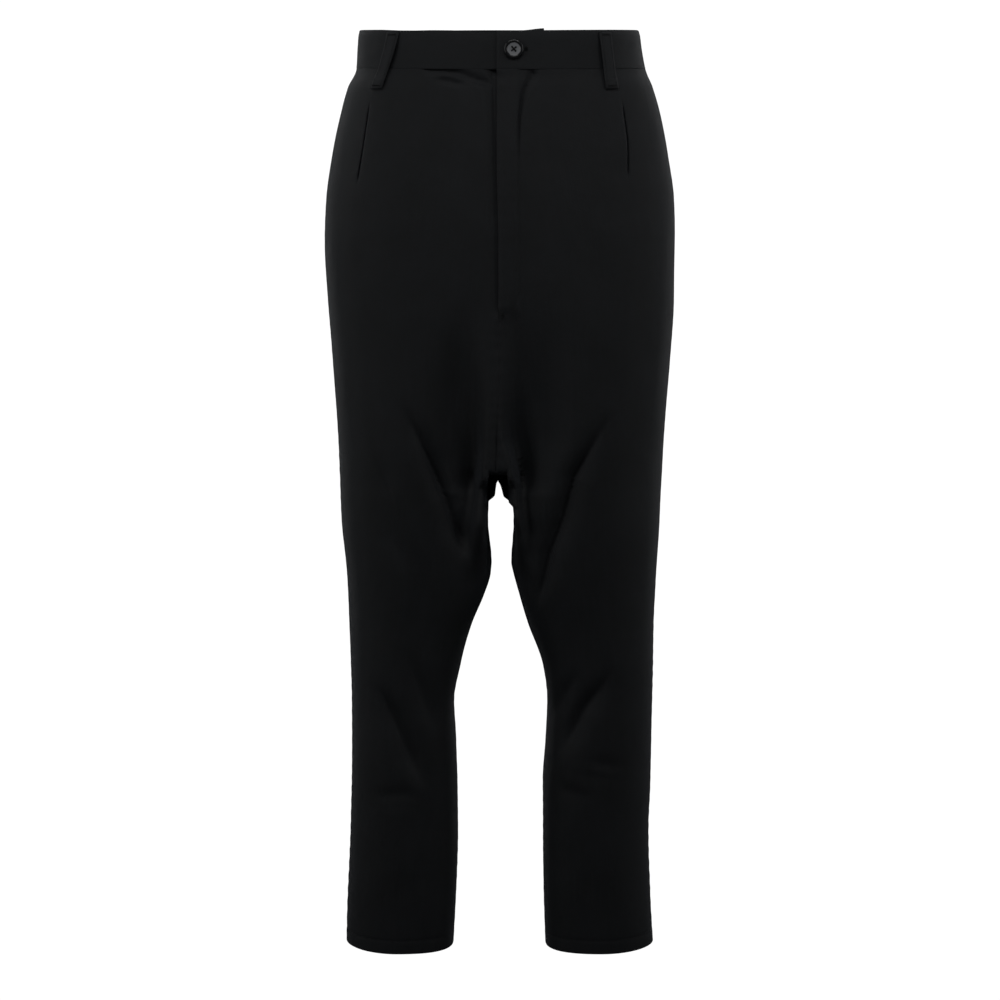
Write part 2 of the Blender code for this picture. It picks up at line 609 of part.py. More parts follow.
def make_button(material, cutters):
    """A turned four-hole button, standing a seam gap off the overlapping end of the band."""
    mesh = bpy.data.meshes.new("button")
    outline = [(ring.across / 2 * MM, 0.0, ring.height * MM) for ring in BUTTON_RINGS]
    mesh.from_pydata(outline, [(i, i + 1) for i in range(len(outline) - 1)], [])
    mesh.materials.append(material)
    button = bpy.data.objects.new("button", mesh)
    bpy.context.scene.collection.children[COLLECTION].objects.link(button)
    turned = button.modifiers.new("turned", "SCREW")
    turned.axis = "Z"
    turned.steps = turned.render_steps = BUTTON_STEPS
    turned.use_merge_vertices = True
    turned.merge_threshold = WELD * MM

    seat, facing = band_point(BUTTON_X, BUTTON_DROP)
    button.location = (seat + facing * (BAND_LIFT + SEAM_GAP)) * MM
    spin = Matrix.Rotation(BUTTON_TURN, 4, "Z")
    button.rotation_euler = (Vector(facing).to_track_quat("Z", "Y").to_matrix().to_4x4() @ spin).to_euler()

    for i in range(4):
        angle = math.pi / 4 + i * math.pi / 2
        bpy.ops.mesh.primitive_cylinder_add(
            vertices=HOLE_SIDES, radius=HOLE_ACROSS / 2 * MM, depth=HOLE_CUTTER_HEIGHT * MM
        )
        cutter = bpy.context.object
        cutter.name = f"button_hole_cutter_{i + 1}"
        reach = HOLE_SPACING / math.sqrt(2) * MM
        cutter.location = (reach * math.cos(angle), reach * math.sin(angle), BUTTON_HEIGHT / 2 * MM)
        cutter.parent = button
        cutter.hide_render = True
        cutter.display_type = "WIRE"
        for home in list(cutter.users_collection):
            home.objects.unlink(cutter)
        cutters.objects.link(cutter)
        hole = button.modifiers.new(f"hole_{i + 1}", "BOOLEAN")
        hole.operation = "DIFFERENCE"
        hole.solver = "EXACT"
        hole.object = cutter


def main():
    clear_scene()
    scene = bpy.context.scene
    scene.collection.children.link(bpy.data.collections.new(COLLECTION))
    cutters = bpy.data.collections.new("cutters")
    scene.collection.children.link(cutters)
    cloth = make_material("black_twill", CLOTH_COLOUR, CLOTH_ROUGHNESS)
    make_panels(cloth)
    make_waistband(make_material("black_twill_band", CLOTH_COLOUR, CLOTH_ROUGHNESS))
    make_fly_shield(make_material("black_twill_shield", CLOTH_COLOUR, CLOTH_ROUGHNESS))
    make_belt_loops(make_material("black_twill_loops", CLOTH_COLOUR, CLOTH_ROUGHNESS))
    make_button(make_material("dark_button_plastic", BUTTON_COLOUR, BUTTON_ROUGHNESS), cutters)


main()
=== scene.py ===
# %% [markdown]
# # Drop-crotch trousers in black twill
# These are tailored, cropped trousers with a low crotch and slim legs, shown filled out as if worn. The
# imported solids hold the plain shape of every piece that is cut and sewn: four panels, a two-part waistband,
# a shield behind the fly, five belt loops and a button.
# This lesson dresses them. Each soft solid is replaced by a finer sheet of cloth on the same form, with its
# seams, creases, hems and stitches, and each surface gets the material that the real one is made of.

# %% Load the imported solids
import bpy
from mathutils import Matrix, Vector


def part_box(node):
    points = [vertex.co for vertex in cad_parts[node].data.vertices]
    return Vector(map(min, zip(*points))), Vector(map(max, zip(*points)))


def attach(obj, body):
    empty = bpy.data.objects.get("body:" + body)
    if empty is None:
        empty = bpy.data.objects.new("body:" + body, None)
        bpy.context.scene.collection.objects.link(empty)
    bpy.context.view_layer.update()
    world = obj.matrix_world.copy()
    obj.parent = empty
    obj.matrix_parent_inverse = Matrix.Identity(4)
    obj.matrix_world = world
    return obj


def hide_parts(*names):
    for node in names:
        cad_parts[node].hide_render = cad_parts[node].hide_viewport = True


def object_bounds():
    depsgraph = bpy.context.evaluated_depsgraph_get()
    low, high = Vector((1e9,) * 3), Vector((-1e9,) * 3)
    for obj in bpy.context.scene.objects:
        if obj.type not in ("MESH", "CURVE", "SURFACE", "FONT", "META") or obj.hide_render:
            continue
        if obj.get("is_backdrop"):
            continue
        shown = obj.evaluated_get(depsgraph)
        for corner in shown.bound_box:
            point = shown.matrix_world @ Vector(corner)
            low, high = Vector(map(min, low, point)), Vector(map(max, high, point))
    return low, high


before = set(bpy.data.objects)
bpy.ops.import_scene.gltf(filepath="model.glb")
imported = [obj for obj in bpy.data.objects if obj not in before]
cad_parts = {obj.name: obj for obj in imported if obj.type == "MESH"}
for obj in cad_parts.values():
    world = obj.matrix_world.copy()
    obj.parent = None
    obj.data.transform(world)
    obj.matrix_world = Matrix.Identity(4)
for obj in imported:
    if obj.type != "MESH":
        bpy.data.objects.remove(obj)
CAD_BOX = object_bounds()
print("packed nodes:", ", ".join(sorted(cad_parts)))

# %% What the lesson uses
import math
from collections import namedtuple
from functools import lru_cache

import bmesh
import bpy
import numpy as np
from mathutils import Matrix, Vector, noise

MM = 0.001
RIGHT, LEFT = -1, 1  # the wearer's sides, along X
FRONT, BACK = -1, 1  # along Y
SIDE = {RIGHT: "right", LEFT: "left"}
WAY = {FRONT: "front", BACK: "back"}
print("the wearer's right is at x", "below" if RIGHT < 0 else "above", "0, and the front at y below 0")

# %% [markdown]
# ## The garment's own sizes
# A tailor describes trousers by levels: how wide and how deep the cloth stands at the waist, hips, crotch,
# knee and hem. The levels that made the solids are repeated here, in millimetres, so the fine cloth has their
# outline. Inside it the fine cloth departs from those plain forms, by a few millimetres in most places and by
# up to 22 at the inner edges of the legs' fronts: it lies flatter over the belly, the folds and the hollows
# beside the crotch are cut more finely, the front seam's ridge turns under higher and more sharply, and the
# tucks and the fly have the steps of real cloth. A height is given as its drop: how far it lies below the
# waistband's top edge at the centre front. Reading the shape back from the solids' coarse faces would also
# work, but their facets would show in the sheen, so the smooth levels are used again instead.

# %% Driving sizes
BAND_HEIGHT = 40.0
BACK_RISE = 7.0  # the waist stands this much higher at the centre back
RISE_ENDS = 250.0
CROTCH = 476.0  # drop of the point where the four panels meet
CROTCH_CURVE = 330.0  # from this drop to the crotch, the cloth turns under along a curve
HEM = 982.8
HEM_BOW = 3.0  # the hem hangs this much higher at the side seams and inseams
HEM_BOW_FROM = 880.0
SIDE_SEAM_BACK = 4.0
SQUARE_TORSO = 2.45  # how square the corners of a section are: 2 is an ellipse
SQUARE_LEG = 2.12
SQUARE_FADES_FROM = 200.0
print("from the waist to the hem", HEM - BAND_HEIGHT, "mm of cloth below a band of", BAND_HEIGHT)

# %% The crotch, and the ridge of its seam
# Inner fronts and backs of the legs, beside the crotch and below it
SQUARE_CROTCH, SQUARE_INNER = {"right": 2.6, "left": 3.4}, 3.2
SQUARE_CROTCH_FROM, SQUARE_CROTCH_TO = (400.0, 490.0), (500.0, 610.0)
WEB_FLAT = 2.3  # the higher, the wider the hollows beside the centre seam
WEB_STARTS, WEB_ENDS = 380.0, 486.0  # here the joined front turns into two round legs
CROTCH_SNUG = 8.0  # the higher, the closer to the seam the cloth turns under between the legs
INSEAM_SNUG = 30  # the same for the short steps of the inseam below the crotch
INNER_OVER = 26.0  # the thigh's edge is averaged over this far above and below
# At the crotch the legs' fronts begin this far from the centre plane, until the inseams part
THIGH_APART = {"right": 11.5, "left": 14.0}
THIGH_APART_ENDS = (486.0, 520.0)
# Above the crotch the cloth falls back between the legs, and the thick centre seams stand out as a ridge that
# stays upright and turns under sharply at its foot
HOLLOW_FROM = 250.0
HOLLOW_SHARE, HOLLOW_GROWS = 0.38, 1.7  # share of the depth lost by the crotch, and how late it is lost
HOLLOW_TURNS = 30
RIDGE_ENDS = 464.0  # drop of the front ridge's foot, in front of the crotch point
RIDGE_TURNS = {FRONT: 120, BACK: 10}
BACK_RIDGE = (3.0, 32.0)  # the plainer ridge behind: it falls off between these distances
RIDGE_LEANS = 0.05
# Under its foot is a notch. Beside that, the ridge runs on as the inner edges of the legs' fronts
NOTCH = (9.5, 13.5)
EDGES_END = (506.0, 580.0)
EDGE_WALL = 30
EDGE_SHARE = {RIGHT: 0.85, LEFT: 1.0}
Ridge = namedtuple("Ridge", "drop flat_right foot_right flat_left foot_left")
RIDGE = [
    Ridge(250, 8, 32, 2, 26),
    Ridge(381, 8, 30, 0, 22),
    Ridge(402, 10, 29, 0, 20),
    Ridge(423, 12, 27, 3, 18),
    Ridge(439, 14, 25, 9, 21),
    Ridge(465, 15, 29, 14, 28),
    Ridge(490, 17, 34, 15, 31),
    Ridge(520, 19, 39, 17, 35),
    Ridge(580, 23, 48, 22, 42),
]
print("the ridge runs from drop", RIDGE[0].drop, "to", RIDGE[-1].drop)

# %% How finely the surface is measured
DENSE = 160  # points along each part of a section
SEAM_TURNS = 6.0  # beside the centre seams, the cloth stands out only in the centre plane
SEAM_PLANE_ENDS = (CROTCH - 1.5, CROTCH + 1.0)
LEVEL_NORMALS = 6.0
PROBE = 0.4  # a direction is measured over this length to each side
STEADY_POWER = 5
SHORTEST = 1e-6
STEADY_SAMPLES = 9  # a steady value is the mean of this many near it
print(2 * DENSE - 1, "points along a section")

# %% Levels from the waist to the hem
# One row a level. out: side seam from the centre plane. inner: inseam from it. front, back: depth at the
# fullest place. mid_front, mid_back: how much further out the cloth lies at the centre seams than there.
Level = namedtuple("Level", "drop out_right out_left inner_right inner_left front back mid_front mid_back")
LEVELS = [
    Level(0, 147.5, 149.5, 0, 0, 96.4, 103, 0.2, 0.5),
    Level(20, 148.7, 152.0, 0, 0, 97.2, 104, 0.2, 0.5),
    Level(40, 150.0, 156.0, 0, 0, 98, 106, 0.2, 0.5),
    Level(60, 159.3, 164.2, 0, 0, 101, 110, 1.0, 1.0),
    Level(90, 167.5, 172.8, 0, 0, 105, 117, 2.0, 1.0),
    Level(130, 176.4, 180.6, 0, 0, 110, 123, 2.5, 0.0),
    Level(175, 183.0, 187.0, 0, 0, 114, 128, 2.0, -1.5),
    Level(215, 184.7, 188.2, 0, 0, 115.5, 129, 1.5, -3.0),
    Level(280, 181.6, 187.9, 0, 0, 115, 126, 0.5, -6.0),
    Level(345, 177.0, 184.0, 0, 0, 112, 118, -3.0, -8.0),
    Level(433, 171.6, 177.7, 0, 0, 106, 108, -3.0, -8.0),
    Level(476, 170.0, 175.4, 0, 0, 101, 102, 0.0, 0.0),
    Level(478, 169.9, 175.3, 1.6, 1.4, 100.8, 101.8, 0.0, 0.0),
    Level(485, 169.8, 175.0, 2.5, 3.8, 100.1, 101, 0.0, 0.0),
    Level(491, 169.6, 174.8, 3.2, 5.4, 99.4, 100.3, 0.0, 0.0),
    Level(497, 169.4, 174.6, 10.0, 15.4, 98.7, 99.6, 0.0, 0.0),
    Level(520, 168.3, 173.8, 10.8, 16.8, 96, 96, 0.0, 0.0),
    Level(563, 163.8, 171.1, 7.0, 14.3, 90, 88, 0.0, 0.0),
    Level(576, 162.7, 170.3, 8.0, 16.8, 88, 86, 0.0, 0.0),
    Level(595, 161.8, 169.4, 14.0, 22.0, 85, 82, 0.0, 0.0),
    Level(628, 160.7, 168.1, 28.3, 31.8, 80, 76, 0.0, 0.0),
    Level(672, 159.4, 167.5, 40.2, 48.2, 75, 70, 0.0, 0.0),
    Level(715, 158.4, 166.6, 47.8, 53.4, 71, 67, 0.0, 0.0),
    Level(759, 158.7, 166.1, 45.4, 51.5, 68, 64, 0.0, 0.0),
    Level(804, 159.3, 165.3, 44.1, 48.4, 65, 62, 0.0, 0.0),
    Level(859, 160.5, 163.6, 43.8, 48.6, 61, 59, 0.0, 0.0),
    Level(925, 163.7, 165.7, 45.7, 49.3, 57, 57, 0.0, 0.0),
    Level(983, 165.4, 169.3, 48.6, 51.2, 53, 56, 0.0, 0.0),
]

# Where across each half a section stands furthest forward and back
Fullest = namedtuple("Fullest", "drop right left")
FULLEST = [
    Fullest(0, 30.0, 31.0),
    Fullest(175, 58.0, 60.0),
    Fullest(345, 76.0, 79.0),
    Fullest(476, 85.0, 88.0),
    Fullest(563, 88.0, 94.0),
    Fullest(672, 99.0, 107.0),
    Fullest(759, 102.0, 109.0),
    Fullest(983, 107.0, 110.0),
]


def columns_of(table):
    """A table's columns by name."""
    return {name: np.array([getattr(row, name) for row in table], float) for name in table[0]._fields}


# The fine cloth lies this much flatter over the belly than the plain solids: (drop, depth)
BELLY_EASE = [(40, 0.0), (60, 1.0), (90, 2.4), (130, 3.8), (175, 4.4), (215, 4.4), (280, 3.6), (345, 2.0),
              (433, 0.0)]

LEVEL_COLUMNS = columns_of(LEVELS)
RIDGE_COLUMNS = columns_of(RIDGE)
FULLEST_COLUMNS = columns_of(FULLEST)
print("waist", LEVELS[0].out_right + LEVELS[0].out_left, "mm across;", len(LEVELS), "levels")

# %% [markdown]
# ### From levels to a smooth surface
# Between two levels the cloth runs smoothly and never bulges past them, which is what a monotone cubic does.
# A level's outline is made of quarter arcs of a superellipse: round enough for a leg, squarer for the hips.


# %% Smooth values between the levels
def soft_step(value, start, end):
    """0 before start, 1 after end, and a smooth rise between."""
    t = np.clip((value - start) / (end - start), 0.0, 1.0)
    return t * t * (3.0 - 2.0 * t)


@lru_cache(maxsize=None)
def level_value(name, drop):
    """A column of the tables at any drop: cubic pieces between the rows that never overshoot them."""
    table = FULLEST_COLUMNS if name in FULLEST_COLUMNS else LEVEL_COLUMNS
    drops, column = table["drop"], table[name]
    rise = np.diff(column) / np.diff(drops)
    before, after = rise[:-1], rise[1:]
    same_way = before * after > 0
    slope = np.concatenate([rise[:1], np.zeros(len(before)), rise[-1:]])
    slope[1:-1][same_way] = 2 * before[same_way] * after[same_way] / (before + after)[same_way]
    row = int(np.clip(np.searchsorted(drops, drop) - 1, 0, len(rise) - 1))
    span = drops[row + 1] - drops[row]
    t = (drop - drops[row]) / span
    bend = slope[row] * t * (1 - t) ** 2 - slope[row + 1] * t * t * (1 - t)
    return column[row] + (column[row + 1] - column[row]) * t * t * (3 - 2 * t) + span * bend


def belly_ease(face, drop):
    """How much flatter the front is at one drop."""
    return float(np.interp(drop, *zip(*BELLY_EASE))) if face == FRONT else 0.0


@lru_cache(maxsize=None)
def centre_depth(face, drop):
    """How far the cloth beside the centre seam lies from the side seams' plane, without the seam's ridge."""
    at = min(drop, HOLLOW_FROM)
    start = level_value(WAY[face], at) + level_value("mid_" + WAY[face], at) - belly_ease(face, at)
    down = min((drop - at) / (CROTCH - HOLLOW_FROM), 1.0)
    return start * (1.0 - HOLLOW_SHARE * down**HOLLOW_GROWS) * (1.0 - down**HOLLOW_TURNS)


def edges(half, drop):
    """How far the side seam and the inseam lie from the centre plane."""
    return level_value("out_" + SIDE[half], drop), level_value("inner_" + SIDE[half], drop)


print("depth beside the front seam at drop 215:", round(centre_depth(FRONT, 215.0), 1), "mm")


# %% The centre seam's ridge and the inner thighs
def ridge(half, face, x, drop):
    """Depth of the centre seam's ridge at each x, and its share there: it ends in the cloth beside it."""
    turn_at = CROTCH if face == BACK else RIDGE_ENDS + (EDGES_END[1] - RIDGE_ENDS) * soft_step(x, *NOTCH)
    down = np.clip((drop - HOLLOW_FROM) / (turn_at - HOLLOW_FROM), 0.0, 1.0)
    lean = RIDGE_LEANS * min((drop - HOLLOW_FROM) / (CROTCH - HOLLOW_FROM), 1.0) ** 2
    out = centre_depth(face, HOLLOW_FROM) * (1.0 - lean) * (1.0 - down ** RIDGE_TURNS[face])
    if face == BACK:
        return out, 1 - soft_step(x, *BACK_RIDGE)
    flat, foot = (np.interp(drop, RIDGE_COLUMNS["drop"], RIDGE_COLUMNS[end + SIDE[half]])
                  for end in ("flat_", "foot_"))
    kept = 1 - (1 - EDGE_SHARE[half]) * soft_step(drop, RIDGE_ENDS, CROTCH)
    return out, (1 - soft_step(drop, *EDGES_END)) * kept * (1 - soft_step(x, flat, foot))


@lru_cache(maxsize=None)
def inner_thigh(side, drop):
    """The inner edge of the thigh's front and back, which pass the steps of the inseam smoothly."""
    near = np.linspace(drop - INNER_OVER, drop + INNER_OVER, STEADY_SAMPLES)
    mean = float(np.mean([level_value("inner_" + side, float(min(max(d, 0), HEM))) for d in near]))
    return mean + (THIGH_APART[side] - mean) * (1 - float(soft_step(drop, *THIGH_APART_ENDS)))


print("the inseam's edge at the knee:", round(inner_thigh("left", 759.0), 1), "mm")


# %% A section across the garment
@lru_cache(maxsize=None)
def section(half, face, drop):
    """Dense (x, y) points of one panel at one drop, from its centre seam or inseam to the side seam."""
    side = SIDE[half]
    outer, inner = edges(half, drop)
    depth = level_value(WAY[face], drop) - belly_ease(face, drop)
    fullest, thigh = level_value(side, drop), inner_thigh(side, drop)
    power = 2 / (SQUARE_TORSO + (SQUARE_LEG - SQUARE_TORSO) * soft_step(drop, SQUARE_FADES_FROM, CROTCH))
    web = 1.0 - soft_step(drop, WEB_STARTS, WEB_ENDS)
    end = centre_depth(face, drop)

    legs, below = soft_step(drop, *SQUARE_CROTCH_FROM), soft_step(drop, *SQUARE_CROTCH_TO)
    crotch, leg = 2 / SQUARE_CROTCH[side], 2 / SQUARE_INNER
    square = power + (crotch - power) * legs + (leg - crotch) * below
    t = (1 - np.cos(np.linspace(0.0, math.pi, DENSE))) / 2
    across, out = np.cos(t * math.pi / 2) ** square, np.sin(t * math.pi / 2) ** square
    snug = 1 + (CROTCH_SNUG - 1) * soft_step(drop, CROTCH_CURVE, CROTCH)
    round_x = fullest - (fullest - thigh) * across + (inner - thigh) * across**INSEAM_SNUG
    round_y = (end**snug + (depth**snug - end**snug) * out**snug) ** (1 / snug)
    web_x = inner + (fullest - inner) * t
    web_y = end + (depth - end) * (1 - np.cos(math.pi * t**WEB_FLAT)) / 2
    inside_x, inside_y = web * web_x + (1 - web) * round_x, web * web_y + (1 - web) * round_y
    if HOLLOW_FROM < drop < EDGES_END[1]:
        out_to, share = ridge(half, face, inside_x, drop)
        wall = 1 - across**EDGE_WALL * soft_step(drop, RIDGE_ENDS, CROTCH) * (face == FRONT)
        inside_y = inside_y + np.maximum(out_to - inside_y, 0.0) * share * wall
    inside = np.stack([inside_x, inside_y], axis=1)
    across, out = np.cos(t * math.pi / 2) ** power, np.sin(t * math.pi / 2) ** power
    back_of_side = SIDE_SEAM_BACK * face
    side_x, side_y = fullest + (outer - fullest) * out, back_of_side + (depth - back_of_side) * across
    points = np.concatenate([inside, np.stack([side_x, side_y], axis=1)[1:]])
    return points * [half, face]


print("a front at the hips:", len(section(LEFT, FRONT, 215.0)), "points")


# %% Widths of the cloth
def run_along(points):
    """Distance along a line of points, at each of them."""
    return np.concatenate([[0.0], np.cumsum(np.linalg.norm(np.diff(points, axis=0), axis=1))])


@lru_cache(maxsize=None)
def measured(half, face, drop):
    """A section's points without repeats, and the distance along it of each."""
    points = section(half, face, drop)
    steps = np.hypot(*np.diff(points, axis=0).T)
    points = points[np.concatenate([[True], steps > SHORTEST])]
    return points, run_along(points)


@lru_cache(maxsize=None)
def to_fullest(half, face, drop):
    """Width of a panel's cloth from the centre seam or inseam to the section's fullest place."""
    return float(run_along(section(half, face, drop)[:DENSE])[-1])


def width_of(half, face, drop):
    """Width of a panel's cloth at one drop."""
    return float(measured(half, face, drop)[1][-1])


print("hip girth", round(sum(width_of(h, f, 215.0) for h in SIDE for f in WAY)), "mm")


# %% Places on the surface
def between(at, runs, rows):
    """Rows of numbers read at a place between their own places, or at many."""
    return np.stack([np.interp(at, runs, column) for column in rows.T], axis=-1)


def along(half, face, drop, places):
    """Points and directions at these distances from the centre seam; past the ends they run straight on."""
    points, distance = measured(half, face, drop)
    near = np.clip(places, PROBE, distance[-1] - PROBE)
    way = between(near + PROBE, distance, points) - between(near - PROBE, distance, points)
    way = way / np.linalg.norm(way, axis=1, keepdims=True)
    past = places - np.clip(places, 0.0, distance[-1])
    return between(places, distance, points) + way * past[:, None], way


def height(half, face, drop, x, share):
    """World height of a point: its drop, the rise of the waist towards the back and the hem's bow."""
    turn = share / 2 if face == FRONT else 1 - share / 2
    rise = BACK_RISE * (1 - np.cos(math.pi * turn)) / 2 * (1 - soft_step(drop, 0.0, RISE_ENDS))
    outer, inner = edges(half, drop)
    lean = (np.abs(x) - (outer + inner) / 2) / ((outer - inner) / 2)
    bow = HEM_BOW * lean * lean * soft_step(drop, HEM_BOW_FROM, HEM)
    return BAND_HEIGHT / 2 - drop + rise + bow


def base_row(half, face, drop, places):
    """Points and outward normals along one level of a panel, before folds, in millimetres."""
    wide = width_of(half, face, drop)
    found, way = along(half, face, drop, places)
    points = np.column_stack([found, height(half, face, drop, found[:, 0], places / wide)])
    # The same place on the level just above and below: it keeps its distance from the fullest line, except
    # close to the centre seam, which it keeps to
    full = to_fullest(half, face, drop)
    inner = np.clip((full - places) / full, 0.0, 1.0)
    above, below = [
        along(half, face, near, places + (to_fullest(half, face, near) - full) * (1 - inner**STEADY_POWER))[0]
        for near in (drop - PROBE, drop + PROBE)
    ]
    across = np.column_stack([way, np.zeros(len(way))])
    down = np.column_stack([below - above, np.full(len(way), -2 * PROBE)])
    normals = np.cross(down, across) * half * -face
    normals /= np.linalg.norm(normals, axis=1, keepdims=True)
    # The left and right panels meet in the centre plane, and the band's seam is level
    normals[:, 0] *= 1 - np.exp(-((places / SEAM_TURNS) ** 2)) * (1 - soft_step(drop, *SEAM_PLANE_ENDS))
    normals[:, 2] *= soft_step(drop, BAND_HEIGHT, BAND_HEIGHT + LEVEL_NORMALS)
    return points, normals / np.linalg.norm(normals, axis=1, keepdims=True)


print("the waist at the centre back lies at", round(float(height(LEFT, BACK, 0.0, 0.0, 0.0)), 1), "mm")

# %% [markdown]
# ## Folds, tucks and the fly
# Cloth hung over a body folds along lines of pull: here from the hips to the low crotch, and across the
# back of each knee. Each main fold is a soft trough or ridge along a short route, as in the solids, with the
# fronts' deep ones placed a little more exactly. The fine cloth adds what a coarse solid can't hold: a narrow
# crease at the bottom of the deep folds, steeper on one side, a few short drag lines, the ripple that sewing
# leaves along a seam, and a slight unevenness everywhere. A cloth simulation was the other way, but it would
# not put the creases where they are on this garment, so they are listed one by one.

# %% Main folds
THINNER = 0.4  # a fold's ends are this much narrower than its middle
STEEPER = 0.35  # a crease is this much narrower on its upper side
# depth is positive for a trough and negative for a ridge; width is the half-width of its soft section; tip
# and foot are the lengths over which it fades at its two ends; the route runs through (distance from the
# centre plane, drop)
Fold = namedtuple("Fold", "depth width tip foot route")
FOLDS = {
    (RIGHT, FRONT): [
        # Beside the centre seam, deeper towards the crotch
        Fold(4.0, 13, 120, 50, [(40, 270), (43, 320), (46, 370), (47, 420), (50, 460), (50, 490)]),
        # From the hips to the crotch
        Fold(6.0, 13, 90, 50, [(106, 375), (97, 394), (71, 444), (51, 487), (43, 515), (27, 555)]),
        Fold(2.4, 12, 80, 60, [(138, 400), (130, 439), (118, 498), (111, 530), (92, 580)]),
        # Across the knee
        Fold(5.0, 12, 60, 50, [(138, 672), (123, 701), (102, 746), (90, 775), (74, 806)]),
        Fold(2.6, 10, 55, 55, [(102, 636), (89, 669), (74, 717), (62, 752)]),
        Fold(1.6, 8, 24, 30, [(140, 803), (122, 808), (100, 805), (78, 814)]),
    ],
    (LEFT, FRONT): [
        # Beside the centre seam
        Fold(2.5, 17, 120, 60, [(28, 280), (32, 330), (32, 380), (29, 430), (29, 470), (30, 510)]),
        # From the hips to the crotch
        Fold(6.0, 13, 90, 60, [(124, 386), (103, 423), (79, 465), (67, 508), (52, 546), (41, 606)]),
        # Across the knee
        Fold(5.0, 12, 60, 50, [(127, 658), (113, 686), (90, 717), (76, 745), (60, 776)]),
        Fold(3.0, 9, 40, 36, [(88, 664), (74, 691), (60, 718), (54, 740)]),
        Fold(1.8, 8, 24, 30, [(62, 786), (72, 802), (90, 808), (106, 806)]),
        Fold(1.8, 8, 22, 22, [(92, 768), (108, 772), (126, 776), (138, 776)]),
    ],
    (RIGHT, BACK): [
        # The back is plainer, with folds like those of the front
        Fold(4.5, 13, 150, 80, [(46, 292), (50, 370), (47, 440), (42, 520)]),
        Fold(5.0, 15, 80, 70, [(128, 340), (96, 392), (66, 448), (40, 520)]),
        Fold(2.6, 13, 60, 60, [(140, 420), (108, 486), (70, 560)]),
        Fold(4.6, 13, 44, 44, [(140, 686), (102, 716), (62, 722)]),
        Fold(2.4, 10, 40, 34, [(132, 754), (98, 742), (66, 762)]),
    ],
    (LEFT, BACK): [
        Fold(4.0, 13, 140, 70, [(42, 300), (46, 366), (44, 446), (40, 510)]),
        Fold(5.0, 15, 80, 70, [(120, 330), (90, 386), (64, 438), (38, 508)]),
        Fold(2.6, 13, 60, 60, [(148, 436), (108, 500), (74, 576)]),
        Fold(4.6, 13, 44, 44, [(146, 702), (104, 722), (66, 716)]),
        Fold(2.4, 10, 40, 34, [(136, 768), (100, 752), (72, 766)]),
    ],
}
print(sum(len(folds) for folds in FOLDS.values()), "main folds")

# %% Creases and drag lines
# Narrow ones that only the fine cloth has
CREASES = {
    (RIGHT, FRONT): [
        Fold(7.0, 4.4, 100, 40, [(106, 375), (97, 394), (71, 444), (52, 487), (43, 515), (29, 560)]),
        Fold(2.0, 4.0, 40, 20, [(53, 415), (51, 434), (48, 455), (41, 482), (43, 504)]),
        Fold(1.2, 5.5, 90, 60, [(136, 410), (122, 465), (112, 530), (98, 562), (88, 586)]),
        Fold(-1.0, 7.0, 50, 50, [(116, 440), (106, 488), (87, 535), (80, 568)]),
        Fold(3.2, 5.0, 60, 46, [(136, 676), (123, 701), (102, 746), (90, 775), (77, 801)]),
        Fold(1.3, 5.0, 50, 40, [(96, 652), (82, 693), (72, 724), (64, 745)]),
        Fold(0.6, 6.0, 28, 28, [(138, 818), (120, 823), (102, 820), (84, 824)]),
        Fold(3.0, 1.5, 50, 3, [(0.5, 384), (2.4, 426), (3.4, 458)]),
        Fold(4.2, 2.9, 12, 12, [(82, 41.5), (56, 41.5), (44, 43.5), (37, 46), (31, 48.5), (21, 52),
                                (10, 55), (4, 57)]),
        Fold(2.6, 2.6, 12, 16, [(66, 51.5), (56, 52.5), (50, 53.5), (44, 54.5), (36, 56), (24, 58)]),
        Fold(-1.2, 2.4, 16, 16, [(72, 47), (50, 47.5), (42, 50), (30, 53.5)]),
        Fold(0.8, 7.0, 30, 30, [(106, 872), (104, 905), (105, 938)]),
        Fold(0.6, 6.0, 24, 24, [(86, 862), (84, 890), (86, 918)]),
    ],
    (LEFT, FRONT): [
        Fold(7.0, 4.4, 100, 36, [(124, 386), (103, 423), (79, 465), (68, 508), (53, 546), (40, 612)]),
        Fold(2.0, 4.5, 24, 24, [(35, 525), (33, 541), (30, 561), (33, 580), (38, 598)]),
        Fold(3.6, 5.0, 60, 46, [(122, 666), (112, 686), (90, 717), (75, 745), (62, 768)]),
        Fold(1.4, 4.5, 30, 26, [(84, 672), (74, 691), (62, 714), (56, 732)]),
        Fold(0.8, 6.0, 28, 28, [(74, 780), (104, 786), (138, 789)]),
        Fold(0.45, 6.0, 24, 24, [(58, 806), (78, 815), (102, 818)]),
        Fold(1.8, 3.0, 3, 34, [(38, 41), (33, 50), (28.5, 58), (25, 68), (23.5, 96)]),
        Fold(0.7, 7.0, 30, 30, [(96, 868), (98, 902), (96, 934)]),
    ],
    (RIGHT, BACK): [
        Fold(2.4, 5.5, 80, 60, [(120, 354), (88, 401), (58, 452), (38, 510)]),
        Fold(1.4, 5.0, 40, 40, [(104, 452), (84, 486), (62, 530)]),
        Fold(2.0, 5.0, 36, 36, [(132, 692), (100, 717), (68, 721)]),
        Fold(1.3, 4.5, 26, 26, [(120, 750), (98, 743), (76, 756)]),
        Fold(0.8, 7.0, 30, 30, [(108, 866), (106, 900), (108, 936)]),
    ],
    (LEFT, BACK): [
        Fold(2.4, 5.5, 80, 60, [(112, 344), (84, 396), (60, 441), (38, 500)]),
        Fold(1.4, 5.0, 40, 40, [(108, 468), (90, 502), (70, 548)]),
        Fold(2.0, 5.0, 36, 36, [(138, 704), (104, 722), (72, 717)]),
        Fold(1.3, 4.5, 26, 26, [(126, 765), (100, 753), (80, 762)]),
        Fold(0.7, 6.0, 26, 26, [(92, 872), (94, 902), (92, 930)]),
    ],
}
